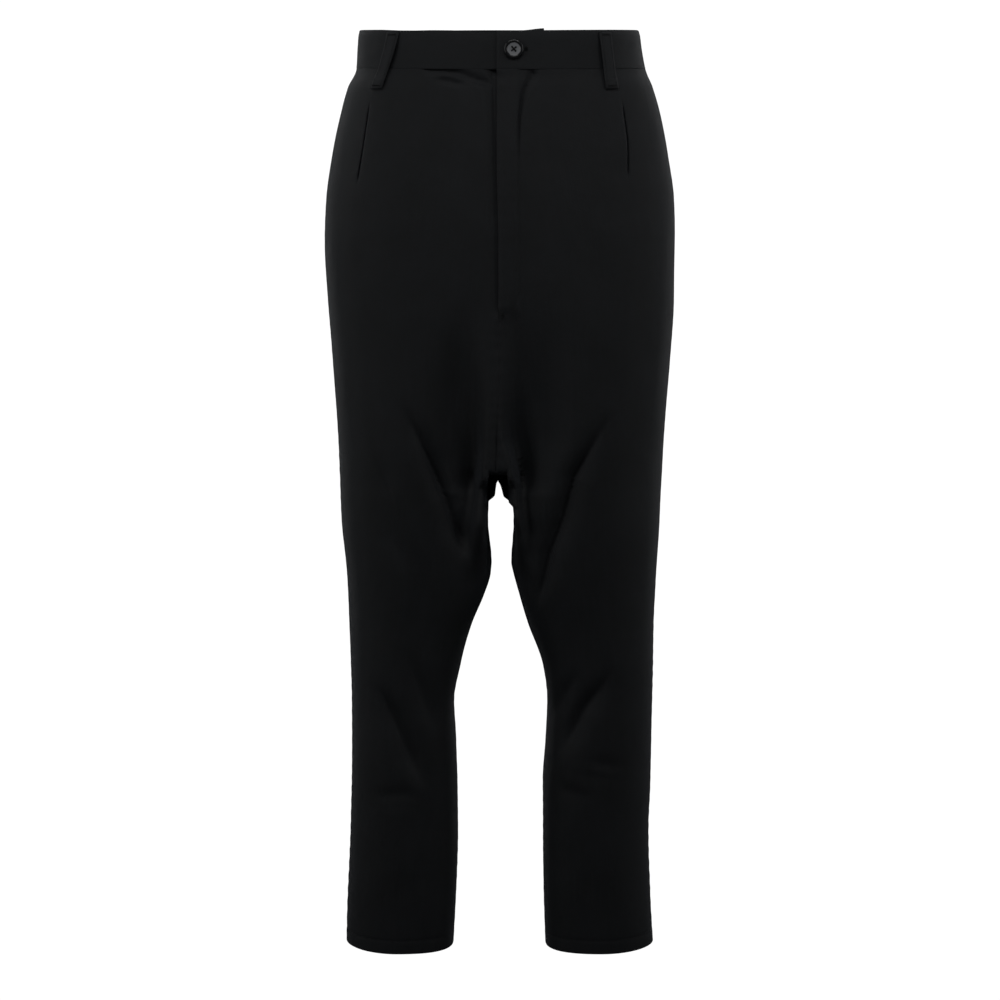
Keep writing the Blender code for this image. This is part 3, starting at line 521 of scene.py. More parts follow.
print(sum(len(creases) for creases in CREASES.values()), "creases")

# %% Sizes of the tucks and the fly
# Each tuck's line, as (distance from the centre plane, drop)
TUCKS = {
    RIGHT: [(126, 40), (134, 84), (140, 123), (146, 156)],
    LEFT: [(120, 40), (129, 78), (134, 114), (135, 150)],
}
TUCK_STEP, TUCK_RELAX = 1.0, 22.0  # one side of the line stands this proud, and settles over this length
TUCK_UNDER, TUCK_UNDER_RELAX = 0.2, 1 / 3  # the other side, as shares of those
TUCK_OPENS, TUCK_FADE = 26.0, 30.0  # below the band, and above the tuck's end
TUCK_SLIT, TUCK_SLIT_WIDTH = 5.0, 0.75  # the fold itself, pressed into the cloth below
TUCK_SLIT_OPENS, TUCK_SLIT_CLOSES = (34.0, 50.0), (-2.0, 12.0)  # along the line, from its two ends

FLY_END = 293.0
FLY_PROUD = 1.7
FLY_FADES = (18.0, 25.0)  # from the centre front, the lapping cloth settles between these distances
FLY_SINK, FLY_SINK_LOW = 5.6, 2.4  # at the waist, and at the fly's lower end
FLY_SINK_WIDTH, FLY_SINK_WIDTH_LOW = 18.0, 9.0
FLY_FOOT = (-6.0, 10.0)  # its forms fade in from below its end to above it
print("tucks", [round(route[-1][1] - BAND_HEIGHT) for route in TUCKS.values()], "mm long below the band")


# %% Folds as relief
def near_route(route, x, drop):
    """Distance from a fold's line, its sign by the side, and the length along it, for each point."""
    best = np.full(x.shape, np.inf)
    side, run = np.zeros(x.shape), np.zeros(x.shape)
    start = 0.0
    for (x0, d0), (x1, d1) in zip(route, route[1:]):
        long = math.hypot(x1 - x0, d1 - d0)
        t = ((x - x0) * (x1 - x0) + (drop - d0) * (d1 - d0)) / long**2
        held = np.clip(t, 0.0, 1.0)
        off_x, off_d = x - x0 - held * (x1 - x0), drop - d0 - held * (d1 - d0)
        gap = np.hypot(off_x, off_d)
        closer = gap < best
        best = np.where(closer, gap, best)
        side = np.where(closer, np.sign((x1 - x0) * off_d - (d1 - d0) * off_x), side)
        run = np.where(closer, start + held * long, run)
        start += long
    return best, side, run, start


def fold_relief(folds, steeper, half, face, away, drop):
    """The sum of a table's troughs and ridges on one panel."""
    out = np.zeros(away.shape)
    for fold in folds.get((half, face), []):
        gap, side, run, whole = near_route(fold.route, away, drop)
        ends = soft_step(run, 0.0, fold.tip) * soft_step(whole - run, 0.0, fold.foot)
        width = fold.width * (1 + steeper * side) * (1 - THINNER * (1 - ends))
        out -= fold.depth * np.exp(-((gap / width) ** 2)) * ends
    return out


print("a fold of", FOLDS[LEFT, FRONT][1].depth, "mm is the deepest on the left front")


# %% Tucks and the fly
def in_fly(drop):
    """1 beside the fly and 0 below it."""
    return soft_step(FLY_END - drop, *FLY_FOOT)


def tuck_relief(half, away, drop):
    """A tuck folds the cloth under along its line, so one side of the line stands proud."""
    gap, side, run, whole = near_route(TUCKS[half], away, drop)
    ends = soft_step(whole - run, 0.0, TUCK_FADE) * soft_step(drop, BAND_HEIGHT, BAND_HEIGHT + TUCK_OPENS)
    over = np.exp(-gap / TUCK_RELAX)
    under = -TUCK_UNDER * np.exp(-gap / (TUCK_RELAX * TUCK_UNDER_RELAX))
    return TUCK_STEP * np.where(side > 0, over, under) * ends


def tuck_slit(half, away, drop):
    """How far back the cloth goes along a tuck, where its fold presses into the cloth below."""
    gap, _, run, whole = near_route(TUCKS[half], away, drop)
    ends = soft_step(run, *TUCK_SLIT_OPENS) * soft_step(whole - run, *TUCK_SLIT_CLOSES)
    return TUCK_SLIT * np.exp(-((gap / TUCK_SLIT_WIDTH) ** 2)) * ends


def fly_relief(half, away, drop):
    """The left front laps over the right one along the centre front."""
    if half == LEFT:
        return FLY_PROUD * in_fly(drop) * (1 - soft_step(away, *FLY_FADES))
    down = np.clip((drop - BAND_HEIGHT) / (FLY_END - BAND_HEIGHT), 0.0, 1.0)
    sink = FLY_SINK + (FLY_SINK_LOW - FLY_SINK) * down
    reach = FLY_SINK_WIDTH + (FLY_SINK_WIDTH_LOW - FLY_SINK_WIDTH) * down
    return -sink * in_fly(drop) * (1 - soft_step(away / reach, 0.0, 1.0))


def relief(half, face, x, drop):
    """How far the cloth stands out of its base shape by its main folds, its tuck and the fly."""
    away = np.maximum(x * half, 0.0)
    drop = np.full(away.shape, float(drop))
    out = fold_relief(FOLDS, 0.0, half, face, away, drop)
    if face == FRONT:
        out += tuck_relief(half, away, drop) + fly_relief(half, away, drop)
    return out


print("relief at the left front's deepest fold:", relief(LEFT, FRONT, np.array([79.0]), 465.0).round(1), "mm")


# %% [markdown]
# ### Fine relief
# The sewing machine draws the cloth together a little, so a seam ripples with a wave of 12 to 16 mm, and a
# topstitched line lies in a shallow groove. Perlin noise, stretched down the leg because the warp is the
# stronger way of the cloth, gives the rest of the surface its slight unevenness.

# %% Fine relief
SEAM_RIPPLE = 0.28
SEAM_RIPPLE_WAVE = 14.0
SEAM_RIPPLE_REACH = 7.0
RIPPLE_WANDERS, RIPPLE_SEED = 60.0, 3.7
RIPPLE_SHIFT = 5.0  # its wave slips by this angle as it wanders
RIPPLE_LEAST, RIPPLE_VARIES = 0.6, 0.8
UNEVEN = 0.55
UNEVEN_ACROSS, UNEVEN_DOWN = 34.0, 90.0
FINER, FINER_WEAKER = 2.3, 3  # the second octave of the unevenness
HEM_STITCH_UP = 15.0
GROOVE = 0.3
GROOVE_WIDTH = 1.8
FLY_GROOVE_TOP, FLY_GROOVE_ENDS = 3.2, 170.0
FLY_GROOVE_LOW = 0.6
FLY_EDGE_SOFT, FLY_EDGE_SOFT_WIDTH = 1.1, 2.8  # the fly's edge rounds away
# The J of topstitching that holds the fly facing: (distance from the centre plane, drop)
FLY_J = [(39, 41), (37, 45), (33, 51), (28.5, 58), (26, 66), (24, 76), (22, 88), (21.3, 123), (21.5, 160),
         (22, 200), (22, 268), (20.5, 278), (17, 285.5), (12, 290), (4.5, 293)]
FLY_J_TOP = [place for place in FLY_J if place[1] < FLY_GROOVE_ENDS]
# The groove along it, deepest at the top, and the little it leaves all the way down
FLY_GROOVE = {(LEFT, FRONT): [
    Fold(FLY_GROOVE_TOP, GROOVE_WIDTH, 2, 90, FLY_J_TOP),
    Fold(FLY_GROOVE_LOW, GROOVE_WIDTH, 4, 4, FLY_J),
    Fold(FLY_EDGE_SOFT, FLY_EDGE_SOFT_WIDTH, 4, 12, [(0, 41), (0, 290)]),
]}


def uneven(x, y, z):
    """Two octaves of noise at each point, longer down than across."""
    found = []
    for point in zip(x / UNEVEN_ACROSS, y / UNEVEN_ACROSS, z / UNEVEN_DOWN):
        place = Vector(point)
        found.append(noise.noise(place) + noise.noise(place * FINER) / FINER_WEAKER)
    return UNEVEN * np.array(found)


def seam_ripple(place, wide, drop):
    """The ripple beside the two seams of a panel; its wave and strength wander."""
    phase = 2 * math.pi * drop / SEAM_RIPPLE_WAVE
    wander = noise.noise(Vector((drop / RIPPLE_WANDERS, RIPPLE_SEED, 0.0)))
    wave = math.sin(phase + RIPPLE_SHIFT * wander) * (RIPPLE_LEAST + RIPPLE_VARIES * wander)
    near = np.exp(-np.abs(place) / SEAM_RIPPLE_REACH) + np.exp(-np.abs(wide - place) / SEAM_RIPPLE_REACH)
    return SEAM_RIPPLE * wave * near


def fine_relief(half, face, places, points, drop, level):
    """What the fine cloth adds along one level; level is 1 where a surface faces forward or back."""
    away = np.maximum(points[:, 0] * half, 0.0)
    drops = np.full(away.shape, float(drop))
    out = fold_relief(CREASES, STEEPER, half, face, away, drops) * level
    out += fold_relief(FLY_GROOVE, 0.0, half, face, away, drops)
    out -= GROOVE * math.exp(-(((drop - HEM + HEM_STITCH_UP) / GROOVE_WIDTH) ** 2))
    out += seam_ripple(places, width_of(half, face, drop), drop)
    return out + uneven(points[:, 0], points[:, 1], points[:, 2])


print("a seam ripples about every", SEAM_RIPPLE_WAVE, "mm")


# %% [markdown]
# ## The four panels
# A panel is one sheet, so it is built as one grid: rows down the leg and columns from the centre seam or
# inseam to the side seam. Its edges roll inward over a millimetre, as cloth does where a seam is pressed, so
# two panels meet in a soft groove and not in a slit. At the foot the sheet turns up inside and ends 20 mm
# higher, which gives the hem its rounded edge. Columns crowd together along the tuck, whose fold is sharp,
# and along the fly's stitching. A Solidify modifier then gives the cloth its thickness.

# %% Sizes of a panel's edges and grid
CLOTH = 0.8
SEAM_ROLL = 0.6
CENTRE_ROLL = 0.35
TOP_ROLL = 0.15
TUCKED_IN, TUCKED_BACK = 0.7, 0.4  # the panels' top edge goes this far up and back behind the band
HEM_ROLL = 1.1
TURN_UP = 20.0
LAP_LEFT, LAP_LEFT_LOW, LAP_RIGHT = 1.5, -0.3, 3.0  # how far each front passes the centre front by the fly
LAP_TURNS = (130.0, 220.0)
FLY_EDGE_DEEPER = 0.9
ROW, HEM_ROW = 3.0, 4.0
CROTCH_ROW, CROTCH_ROWS_END = 1.5, 26.0  # closer rows for this far below the crotch
CURVE_STEPS = 100
CURVE_PROBES = 20 * CURVE_STEPS
BESIDE_STITCHES = (-5, -2.5, -1.4, -0.7, 0, 0.7, 1.4, 2.5, 5, 8, 11)  # rows by the hem's stitching
QUARTER = [math.radians(angle) for angle in (90, 67.5, 45, 22.5)]
HALF_TURN = (0, 22.5, 45, 67.5, 90, 112.5, 135, 157.5, 180)  # in degrees, round the hem's fold
# Columns beside the centre front, in millimetres from it: close together along the J of stitches
FLY_COLUMNS = [1.0, 2.2, 4.0, 6.0, 8.5, 11.0, 13.5, 16.0, 18.0, 19.6, 20.8, 21.5, 22.0, 22.5, 23.2, 24.4,
               26.0, 28.0, 30.5, 33.5, 37.0, 41.0]
# Columns beside the tuck's line, in millimetres from it
TUCK_COLUMNS = [-9.0, -6.0, -3.6, -2.0, -1.1, -0.6, -0.3, -0.12, 0.12, 0.4, 0.9, 1.8, 3.4, 6.0]
COLUMNS_TO_TUCK, COLUMNS_PAST_TUCK, COLUMNS_OF_BACK = 34, 11, 66
# Near the crotch point the cloth widens quickly; columns far from it shouldn't feel that
STEADY_NEAR, STEADY_OVER = 60.0, 24.0
print("a hem of", TURN_UP, "mm, cloth of", CLOTH, "mm")


# %% Rows of a panel
PanelRow = namedtuple("PanelRow", "drop depth seam_roll run")


def even(start, end, step):
    """Values from start up to but not at end, about step apart."""
    count = max(1, round(abs(end - start) / step))
    return [start + (end - start) * i / count for i in range(count)]


def corner(turns, radius, deep=None):
    """A rounded corner as (distance short of the edge, depth); deep is its depth where it isn't round."""
    deep = radius if deep is None else deep
    return [(radius * (1 - math.sin(a)), deep * (1 - math.cos(a))) for a in turns]


def panel_rows():
    """Each row's drop, its depth inside the outer face, how much of the seam roll it has, and its run."""
    rows = [(BAND_HEIGHT - TUCKED_IN, TOP_ROLL + TUCKED_BACK, 1.0)]
    rows += [(BAND_HEIGHT + short, depth, 1.0) for short, depth in corner(QUARTER, TOP_ROLL)]
    drops = np.linspace(CROTCH_CURVE, CROTCH, CURVE_PROBES)
    depths = np.array([abs(section(LEFT, FRONT, float(drop))[0][1]) for drop in drops])
    runs = run_along(np.column_stack([drops, depths]))
    curve = np.interp(np.linspace(0, runs[-1], CURVE_STEPS, endpoint=False), runs, drops)
    stitched = HEM - HEM_STITCH_UP
    flat = even(BAND_HEIGHT + TOP_ROLL, CROTCH_CURVE, ROW) + [float(drop) for drop in curve]
    flat += even(CROTCH, CROTCH + CROTCH_ROWS_END, CROTCH_ROW)
    flat += even(CROTCH + CROTCH_ROWS_END, stitched + BESIDE_STITCHES[0], ROW)
    flat += [stitched + step for step in BESIDE_STITCHES]
    rows += [(drop, 0.0, 1.0) for drop in flat]
    for angle, (short, depth) in zip(HALF_TURN, corner(np.radians(HALF_TURN), HEM_ROLL)):
        rows.append((HEM - short, depth, min(1.0, 2 - angle / 90)))
    inside = even(HEM - HEM_ROLL - HEM_ROW, HEM - TURN_UP, HEM_ROW) + [HEM - TURN_UP]
    rows += [(drop, 2 * HEM_ROLL, 0.0) for drop in inside]
    runs = run_along(np.array(rows)[:, :2])
    return [PanelRow(*row, float(run)) for row, run in zip(rows, runs)]


print(len(panel_rows()), "rows")


# %% Columns of a panel
def tuck_place(half, drop):
    """Distance of the tuck's line from the centre seam; below its end it keeps its share of the width."""
    across, drops = zip(*TUCKS[half])
    held = min(drop, drops[-1])
    x = np.interp(held, drops, across)
    points, distance = measured(half, FRONT, held)
    place = float(np.interp(x, np.abs(points[:, 0]), distance))
    before = width_of(half, FRONT, held)
    now = width_of(half, FRONT, drop) - to_fullest(half, FRONT, drop) + steady_width(half, FRONT, drop)
    return place * now / before


def lap(half, face, drop):
    """How far a front passes the centre front beside the fly."""
    if face == BACK:
        return 0.0
    left = LAP_LEFT + (LAP_LEFT_LOW - LAP_LEFT) * soft_step(drop, *LAP_TURNS)
    return float((left if half == LEFT else LAP_RIGHT) * in_fly(drop))


@lru_cache(maxsize=None)
def steady_width(half, face, drop):
    """The width to the fullest place without its quick growth at the crotch point."""
    if abs(drop - CROTCH) > STEADY_NEAR:
        return to_fullest(half, face, drop)
    reach = STEADY_OVER * (1 - (drop - CROTCH) ** 2 / STEADY_NEAR**2)
    near = np.linspace(drop - reach, drop + reach, STEADY_SAMPLES)
    return float(np.mean([to_fullest(half, face, float(drop)) for drop in near]))


def panel_columns(half, face, drop):
    """Place of each column from the centre seam, and its depth inside the outer face."""
    full, steady = to_fullest(half, face, drop), steady_width(half, face, drop)
    wide, past = width_of(half, face, drop) - full + steady, lap(half, face, drop)
    roll = CENTRE_ROLL if face == FRONT else SEAM_ROLL
    edge_depth = roll + FLY_EDGE_DEEPER * float(in_fly(drop)) * (half == LEFT)
    start = [(short - past, depth) for short, depth in corner(QUARTER, roll, edge_depth)]
    stop = [(wide - short, depth) for short, depth in corner(QUARTER[::-1], SEAM_ROLL)]
    if face == BACK:
        middle = list(np.linspace(SEAM_ROLL, wide - SEAM_ROLL, COLUMNS_OF_BACK))
    else:
        tuck = tuck_place(half, drop)
        spread = min(1.0, (wide - SEAM_ROLL - tuck) / (2 * TUCK_COLUMNS[-1]))
        beside = [tuck + step * spread for step in TUCK_COLUMNS]
        first = [roll - past + (FLY_COLUMNS[0] - roll + past) * i / 2 for i in (0, 1)]
        to_tuck = list(np.linspace(FLY_COLUMNS[-1], beside[0], COLUMNS_TO_TUCK + 1))[1:-1]
        past_tuck = list(np.linspace(beside[-1], wide - SEAM_ROLL, COLUMNS_PAST_TUCK + 1))[1:]
        middle = first + FLY_COLUMNS[1:] + to_tuck + beside + past_tuck
    places, depths = np.array(start + [(place, 0.0) for place in middle] + stop).T
    inner = np.clip((steady - places) / steady, 0.0, None)
    return places + (full - steady) * (1 - inner**STEADY_POWER), depths


print(len(panel_columns(LEFT, FRONT, 200.0)[0]), "columns on a front")


# %% A panel as a grid of points
def panel_grid(half, face):
    """Points of a panel's outer face, and its flat pattern, both in metres."""
    grid, pattern = [], []
    for row in panel_rows():
        places, depths = panel_columns(half, face, row.drop)
        points, normals = base_row(half, face, row.drop, places)
        level = np.abs(normals[:, 1])
        out = relief(half, face, points[:, 0], row.drop) * level
        out += fine_relief(half, face, places, points, row.drop, level)
        out -= row.depth + depths * row.seam_roll
        moved = points + normals * out[:, None]
        if face == FRONT:
            moved[:, 1] += tuck_slit(half, np.abs(points[:, 0]), np.full(len(points), row.drop))
        grid.append(moved * MM)
        from_crease = (places - to_fullest(half, face, row.drop)) * half
        pattern.append(np.column_stack([from_crease, np.full(len(places), -row.run)]) * MM)
    return np.array(grid), np.array(pattern)


print("a front at the hips is", round(width_of(LEFT, FRONT, 215.0)), "mm wide")


# %% Sheets from grids
def grid_mesh(name, grid, pattern, outward, closed=False):
    """A mesh through a grid of points, with its flat pattern as its UV map; closed joins the last column."""
    rows, columns = grid.shape[:2]
    numbers = np.arange(rows * columns).reshape(rows, columns)
    if closed:
        numbers = np.concatenate([numbers, numbers[:, :1]], axis=1)
    corners = [numbers[:-1, :-1], numbers[1:, :-1], numbers[1:, 1:], numbers[:-1, 1:]]
    faces = np.stack([corner.ravel() for corner in corners], axis=1)
    if not outward:
        faces = faces[:, ::-1]
    mesh = bpy.data.meshes.new(name)
    mesh.from_pydata(grid.reshape(-1, 3).tolist(), [], faces.tolist())
    chart = mesh.uv_layers.new(name="pattern")
    chart.data.foreach_set("uv", pattern.reshape(-1, 2)[faces.ravel()].astype(np.float32).ravel())
    mesh.shade_smooth()
    return mesh


def add_object(name, data):
    """A new object in the scene."""
    made = bpy.data.objects.new(name, data)
    bpy.context.scene.collection.objects.link(made)
    return made


def add_piece(name, mesh, material, stands_for=()):
    """A new object on the garment's one body."""
    piece = add_object(name, mesh)
    mesh.materials.append(material)
    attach(piece, "root")
    if stands_for:
        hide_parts(*stands_for)
    return piece


def area_of(mesh):
    """A mesh's surface in square metres."""
    return sum(face.area for face in mesh.polygons)


def thicken(piece, thickness):
    """Gives a sheet its thickness, inward from its outer face."""
    wall = piece.modifiers.new("thickness", "SOLIDIFY")
    wall.thickness = thickness * MM
    wall.offset = -1.0


# %% [markdown]
# ## Materials
# The cloth is a black gabardine: a tightly woven cotton twill whose steep diagonal ribs are about 0.5 mm
# apart. Black dye takes nearly all the diffuse light, so what the eye sees is the soft gloss of the yarns:
# faint when looked at straight on, and a light rim where the surface turns away. The rim comes from the
# short fibres that stand off the yarns, which is what Sheen stands for.


# %% Helpers for colours and nodes
def linear(code):
    """Linear colour of an sRGB hex code."""
    parts = [int(code[i:i + 2], 16) / 255 for i in (1, 3, 5)]
    return [part / 12.92 if part <= 0.04045 else ((part + 0.055) / 1.055) ** 2.4 for part in parts]


def opaque(code):
    """The same colour with its alpha."""
    return (*linear(code), 1.0)


def feed(tree, node, links):
    """Gives each named input of a node its value, or the output that feeds it."""
    for name, value in links.items():
        if isinstance(value, bpy.types.NodeSocket):
            tree.links.new(value, node.inputs[name])
        else:
            node.inputs[name].default_value = value


def add_node(tree, kind, links=None, **settings):
    """Adds a node with its settings; links says what goes into its inputs."""
    node = tree.nodes.new("ShaderNode" + kind)
    for name, value in settings.items():
        setattr(node, name, value)
    feed(tree, node, links or {})
    return node


def waves(tree, pattern, way, pitch):
    """Ripples along one way of the flat pattern, pitch millimetres apart, from -1 to 1."""
    way = way * (2 * math.pi * PATTERN_SCALE / pitch)
    run = add_node(tree, "VectorMath", {0: pattern, 1: way}, operation="DOT_PRODUCT").outputs["Value"]
    return add_node(tree, "Math", {0: run}, operation="SINE").outputs[0]


def new_material(name):
    """An empty material with its Principled shader and its node tree."""
    material = bpy.data.materials.new(name)
    material.use_nodes = True
    return material, material.node_tree, material.node_tree.nodes["Principled BSDF"]


PATTERN_SCALE = 1000.0  # the UV map is in metres, and each pattern's size in millimetres
print("black at 8 bits, in linear light:", [round(part, 4) for part in linear("#1d1f22")])


# %% Black gabardine
RIB_PITCH = 1.1  # the real 0.5 mm ribs are too fine to show, so they are drawn about twice as coarse
RIB_ANGLE = 63.0  # gabardine's ribs are steep
RIB_HEIGHT = 0.05
SLUB_ACROSS, SLUB_DOWN = 1.6, 45.0  # warp yarns are a little thicker here and there, over some centimetres
SLUB_HEIGHT = 0.06
CLOUD = 60.0  # size of the cloth's faint light and dark patches
TWILL_TONES = {"From Min": 0.7, "From Max": 1.3}
TWILL_ROUGHNESS = {"To Min": 0.58, "To Max": 0.78}
COTTON = {"IOR": 1.5, "Specular IOR Level": 0.28, "Sheen Roughness": 0.42, "Sheen Tint": opaque("#c8d0dc")}


def gabardine(name, dark, light, sheen):
    """Black twill: a dark dyed base, steep fine ribs, uneven warp yarns and a soft sheen."""
    material, tree, shader = new_material(name)
    pattern = add_node(tree, "UVMap", uv_map="pattern").outputs["UV"]
    turn = math.radians(RIB_ANGLE)
    ribs = waves(tree, pattern, Vector((math.sin(turn), -math.cos(turn), 0.0)), RIB_PITCH)
    stretch = Vector((PATTERN_SCALE / SLUB_ACROSS, PATTERN_SCALE / SLUB_DOWN, 0.0))
    yarns = add_node(tree, "VectorMath", {0: pattern, 1: stretch}, operation="MULTIPLY").outputs["Vector"]
    slubs = add_node(tree, "TexNoise", {"Vector": yarns, "Scale": 1.0, "Detail": 2.0}).outputs["Fac"]
    clouds = add_node(tree, "TexNoise", {"Vector": pattern, "Scale": PATTERN_SCALE / CLOUD, "Detail": 3.0})
    tone = add_node(tree, "Math", {0: slubs, 1: clouds.outputs["Fac"]}, operation="ADD").outputs[0]
    tone = add_node(tree, "MapRange", {"Value": tone, **TWILL_TONES}).outputs["Result"]
    colour = add_node(tree, "Mix", {"Factor": tone, "A": opaque(dark), "B": opaque(light)}, data_type="RGBA")
    dullness = add_node(tree, "MapRange", {"Value": slubs, **TWILL_ROUGHNESS}).outputs["Result"]
    rise = add_node(tree, "Math", {0: slubs, 1: SLUB_HEIGHT / RIB_HEIGHT, 2: ribs}, operation="MULTIPLY_ADD")
    bump = add_node(tree, "Bump", {"Height": rise.outputs[0], "Distance": RIB_HEIGHT * MM, "Strength": 1.0})
    feed(tree, shader, {"Base Color": colour.outputs["Result"], "Roughness": dullness,
                        "Normal": bump.outputs["Normal"], "Sheen Weight": sheen, **COTTON})
    return material


panel_twill = gabardine("black_gabardine", "#16181a", "#1d1f22", 0.10)
band_twill = gabardine("black_gabardine_band", "#17191b", "#1e2023", 0.10)
print("materials:", panel_twill.name, band_twill.name)

# %% [markdown]
# The sewing thread is spun polyester, dyed black like the cloth but smoother, so each stitch catches a
# little more light than the twill around it.

# %% Black polyester thread
THREAD_TWIST = 0.6
PLY_HEIGHT = 0.06
# How much darker the thread is painted in the grooves between its plies, and how much lighter on their
# crests: painted shade and painted highlight
PLY_PAINTED_SHADING = {"From Min": -1.0, "To Min": 0.7, "To Max": 1.2}


def sewing_thread(name, colour):
    """Spun polyester thread: twisted plies under a soft gloss, with painted shade and highlight along them.
    """
    material, tree, shader = new_material(name)
    pattern = add_node(tree, "UVMap", uv_map="pattern").outputs["UV"]
    plies = waves(tree, pattern, Vector((1.0, 1.0, 0.0)), THREAD_TWIST)
    bump = add_node(tree, "Bump", {"Height": plies, "Distance": PLY_HEIGHT * MM, "Strength": 0.8})
    # Painted shade in the grooves and painted highlight on the crests, following the plies' bump
    painted_ply_shading = add_node(tree, "MapRange", {"Value": plies, **PLY_PAINTED_SHADING}).outputs["Result"]
    tone = add_node(tree, "VectorMath", {0: linear(colour), "Scale": painted_ply_shading}, operation="SCALE")
    feed(tree, shader, {"Base Color": tone.outputs["Vector"], "Normal": bump.outputs["Normal"],
                        "Roughness": 0.6, "Specular IOR Level": 0.3})
    return material


thread = sewing_thread("black_polyester_thread", "#1a1b1d")
# Near-black thread, darker than the cloth: the button's own black thread, and at the buttonhole painted shade
# for its slit
near_black_thread_and_slit_shade = sewing_thread("black_button_thread", "#050505")
print("materials:", thread.name, near_black_thread_and_slit_shade.name)

# %% [markdown]
# The button is cast polyester resin in dark grey with a faint cloudy marbling, turned and tumbled to a satin
# gloss. The soft patch of light that its dished face reflects from above is painted into the face's colour as
# a lighter, marbled grey, so it reads much lighter than the cloth; the rim keeps the resin's own dark grey.

# %% Cast polyester resin
MARBLE = 5.0
DISH_ENDS = (6.3, 6.9)  # radius in millimetres over which the dull dished face, painted lighter as its reflection of the light above, ends and the dark polished rim begins
RESIN_ROUGHNESS = {"To Min": 0.55, "To Max": 0.24}
SCUFFS, SCUFF_DEPTH = 1.0, 0.02
RESIN_IOR = 1.54


def cast_resin(name, dish_painted_reflection, dish_painted_reflection_light, rim):
    """Dark polyester resin: a dull, cloudy dished face painted lighter as its reflection of the light above,
    and a polished dark rim.
    """
    material, tree, shader = new_material(name)
    place = add_node(tree, "TexCoord").outputs["Object"]
    settings = {"Vector": place, "Scale": PATTERN_SCALE / MARBLE, "Detail": 4.0, "Distortion": 1.2}
    marble = add_node(tree, "TexNoise", settings).outputs["Fac"]
    settings = {"Vector": place, "Scale": PATTERN_SCALE / SCUFFS, "Detail": 2.0}
    scuffs = add_node(tree, "TexNoise", settings).outputs["Fac"]
    flat = add_node(tree, "VectorMath", {0: place, 1: Vector((1.0, 1.0, 0.0))}, operation="MULTIPLY")
    radius = add_node(tree, "VectorMath", {0: flat.outputs["Vector"]}, operation="LENGTH").outputs["Value"]
    limits = {"Value": radius, "From Min": DISH_ENDS[0] * MM, "From Max": DISH_ENDS[1] * MM}
    on_rim = add_node(tree, "MapRange", limits).outputs["Result"]
    # The dished face's colour is a painted reflection of the light above, marbled; the rim keeps the resin's
    # own dark grey
    painted_reflection_marbled = {"Factor": marble, "A": opaque(dish_painted_reflection), "B": opaque(dish_painted_reflection_light)}
    painted_reflection_marbled = add_node(tree, "Mix", painted_reflection_marbled, data_type="RGBA").outputs["Result"]
    colour = add_node(tree, "Mix", {"Factor": on_rim, "A": painted_reflection_marbled, "B": opaque(rim)}, data_type="RGBA")
    gloss = add_node(tree, "MapRange", {"Value": on_rim, **RESIN_ROUGHNESS}).outputs["Result"]
    bump = add_node(tree, "Bump", {"Height": scuffs, "Distance": SCUFF_DEPTH * MM, "Strength": 0.5})
    feed(tree, shader, {"Base Color": colour.outputs["Result"], "Roughness": gloss,
                        "Normal": bump.outputs["Normal"], "IOR": RESIN_IOR})
    return material


# The two lighter greys are the dished face's painted reflection, marbled; the darkest is the resin's own
# colour, on the rim
resin = cast_resin("grey_polyester_resin", "#6c6e71", "#86888c", "#1d1e20")
print("material:", resin.name)

# %% Sew the four panels
# Flat cut of each panel in metres, at its widest, beside the crotch, and with 20 mm of hem; then its area
panels = {}
for half, side in SIDE.items():
    for face, word in WAY.items():
        name = f"{word}_{side}"
        grid, pattern = panel_grid(half, face)
        mesh = grid_mesh(name + "_panel", grid, pattern, half * face < 0)
        panels[half, face] = add_piece(name + "_panel", mesh, panel_twill, stands_for=(name,))
        thicken(panels[half, face], CLOTH)
        low, high = [np.array(corner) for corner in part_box(name)]
        past = max((grid.max((0, 1)) - high).max(), (low - grid.min((0, 1))).max())
        print(name, f"area {area_of(mesh):.4f} m2, widest {np.ptp(pattern[..., 0], axis=1).max():.3f} m,",
              f"cloth past its solid {past / MM:.1f} mm")

# %% [markdown]
# ## The waistband
# The band is a straight strip, folded along its top edge and stitched down, so it is twice as thick as the
# panels and its top edge is round. A sweep of its cross-section round the waist gives that shape. Its two
# ends cross at the centre front: the left one lies on top with the buttonhole, and the right one runs on
# behind it and carries the button.

# %% Sizes of the waistband
BAND_THICK = 2.4
BAND_CORNER = 0.25
BAND_FOOT = 2.0  # its flat faces end this far above its lower edge
OVERLAP_END = -1.6
UNDERLAP_END = 48.0
BAND_LIFT = 1.25
BAND_SEATED = 0.2  # how far it stands proud of the panels elsewhere
LIFT_FADE = (32.0, 46.0)
UNDERLAP_SINKS = 17.0
UNDERLAP_SUNK = 1.0
UNDERLAP_CORNER = 2.0
# How much lower the band's right half lies, by the distance round from the centre front
TOP_SAGS = [(-130, 0.0), (-105, 0.7), (-88, 0.7), (-70, 0.2), (-46, 0.2), (-30, 1.0), (-14, 1.9), (-4, 1.9),
            (6, 0.4), (14, 0.0)]
TOP_LEANS, TOP_LEANS_OVER = 1.3, 9.0  # the band's top leans in by this much, over this height
BAND_WAVE, BAND_WAVE_LONG, BAND_WAVE_TALL, BAND_SEED = 0.25, 22.0, 16.0, 9.0
BAND_STEP = 4.0
BAND_ROWS = 9
print("the band's ends cross over", UNDERLAP_END + OVERLAP_END, "mm")


# %% Round the waist
def half_ring(half, drop):
    """Length of the waist ring on one side, from the centre front to the centre back."""
    return width_of(half, FRONT, drop) + width_of(half, BACK, drop)


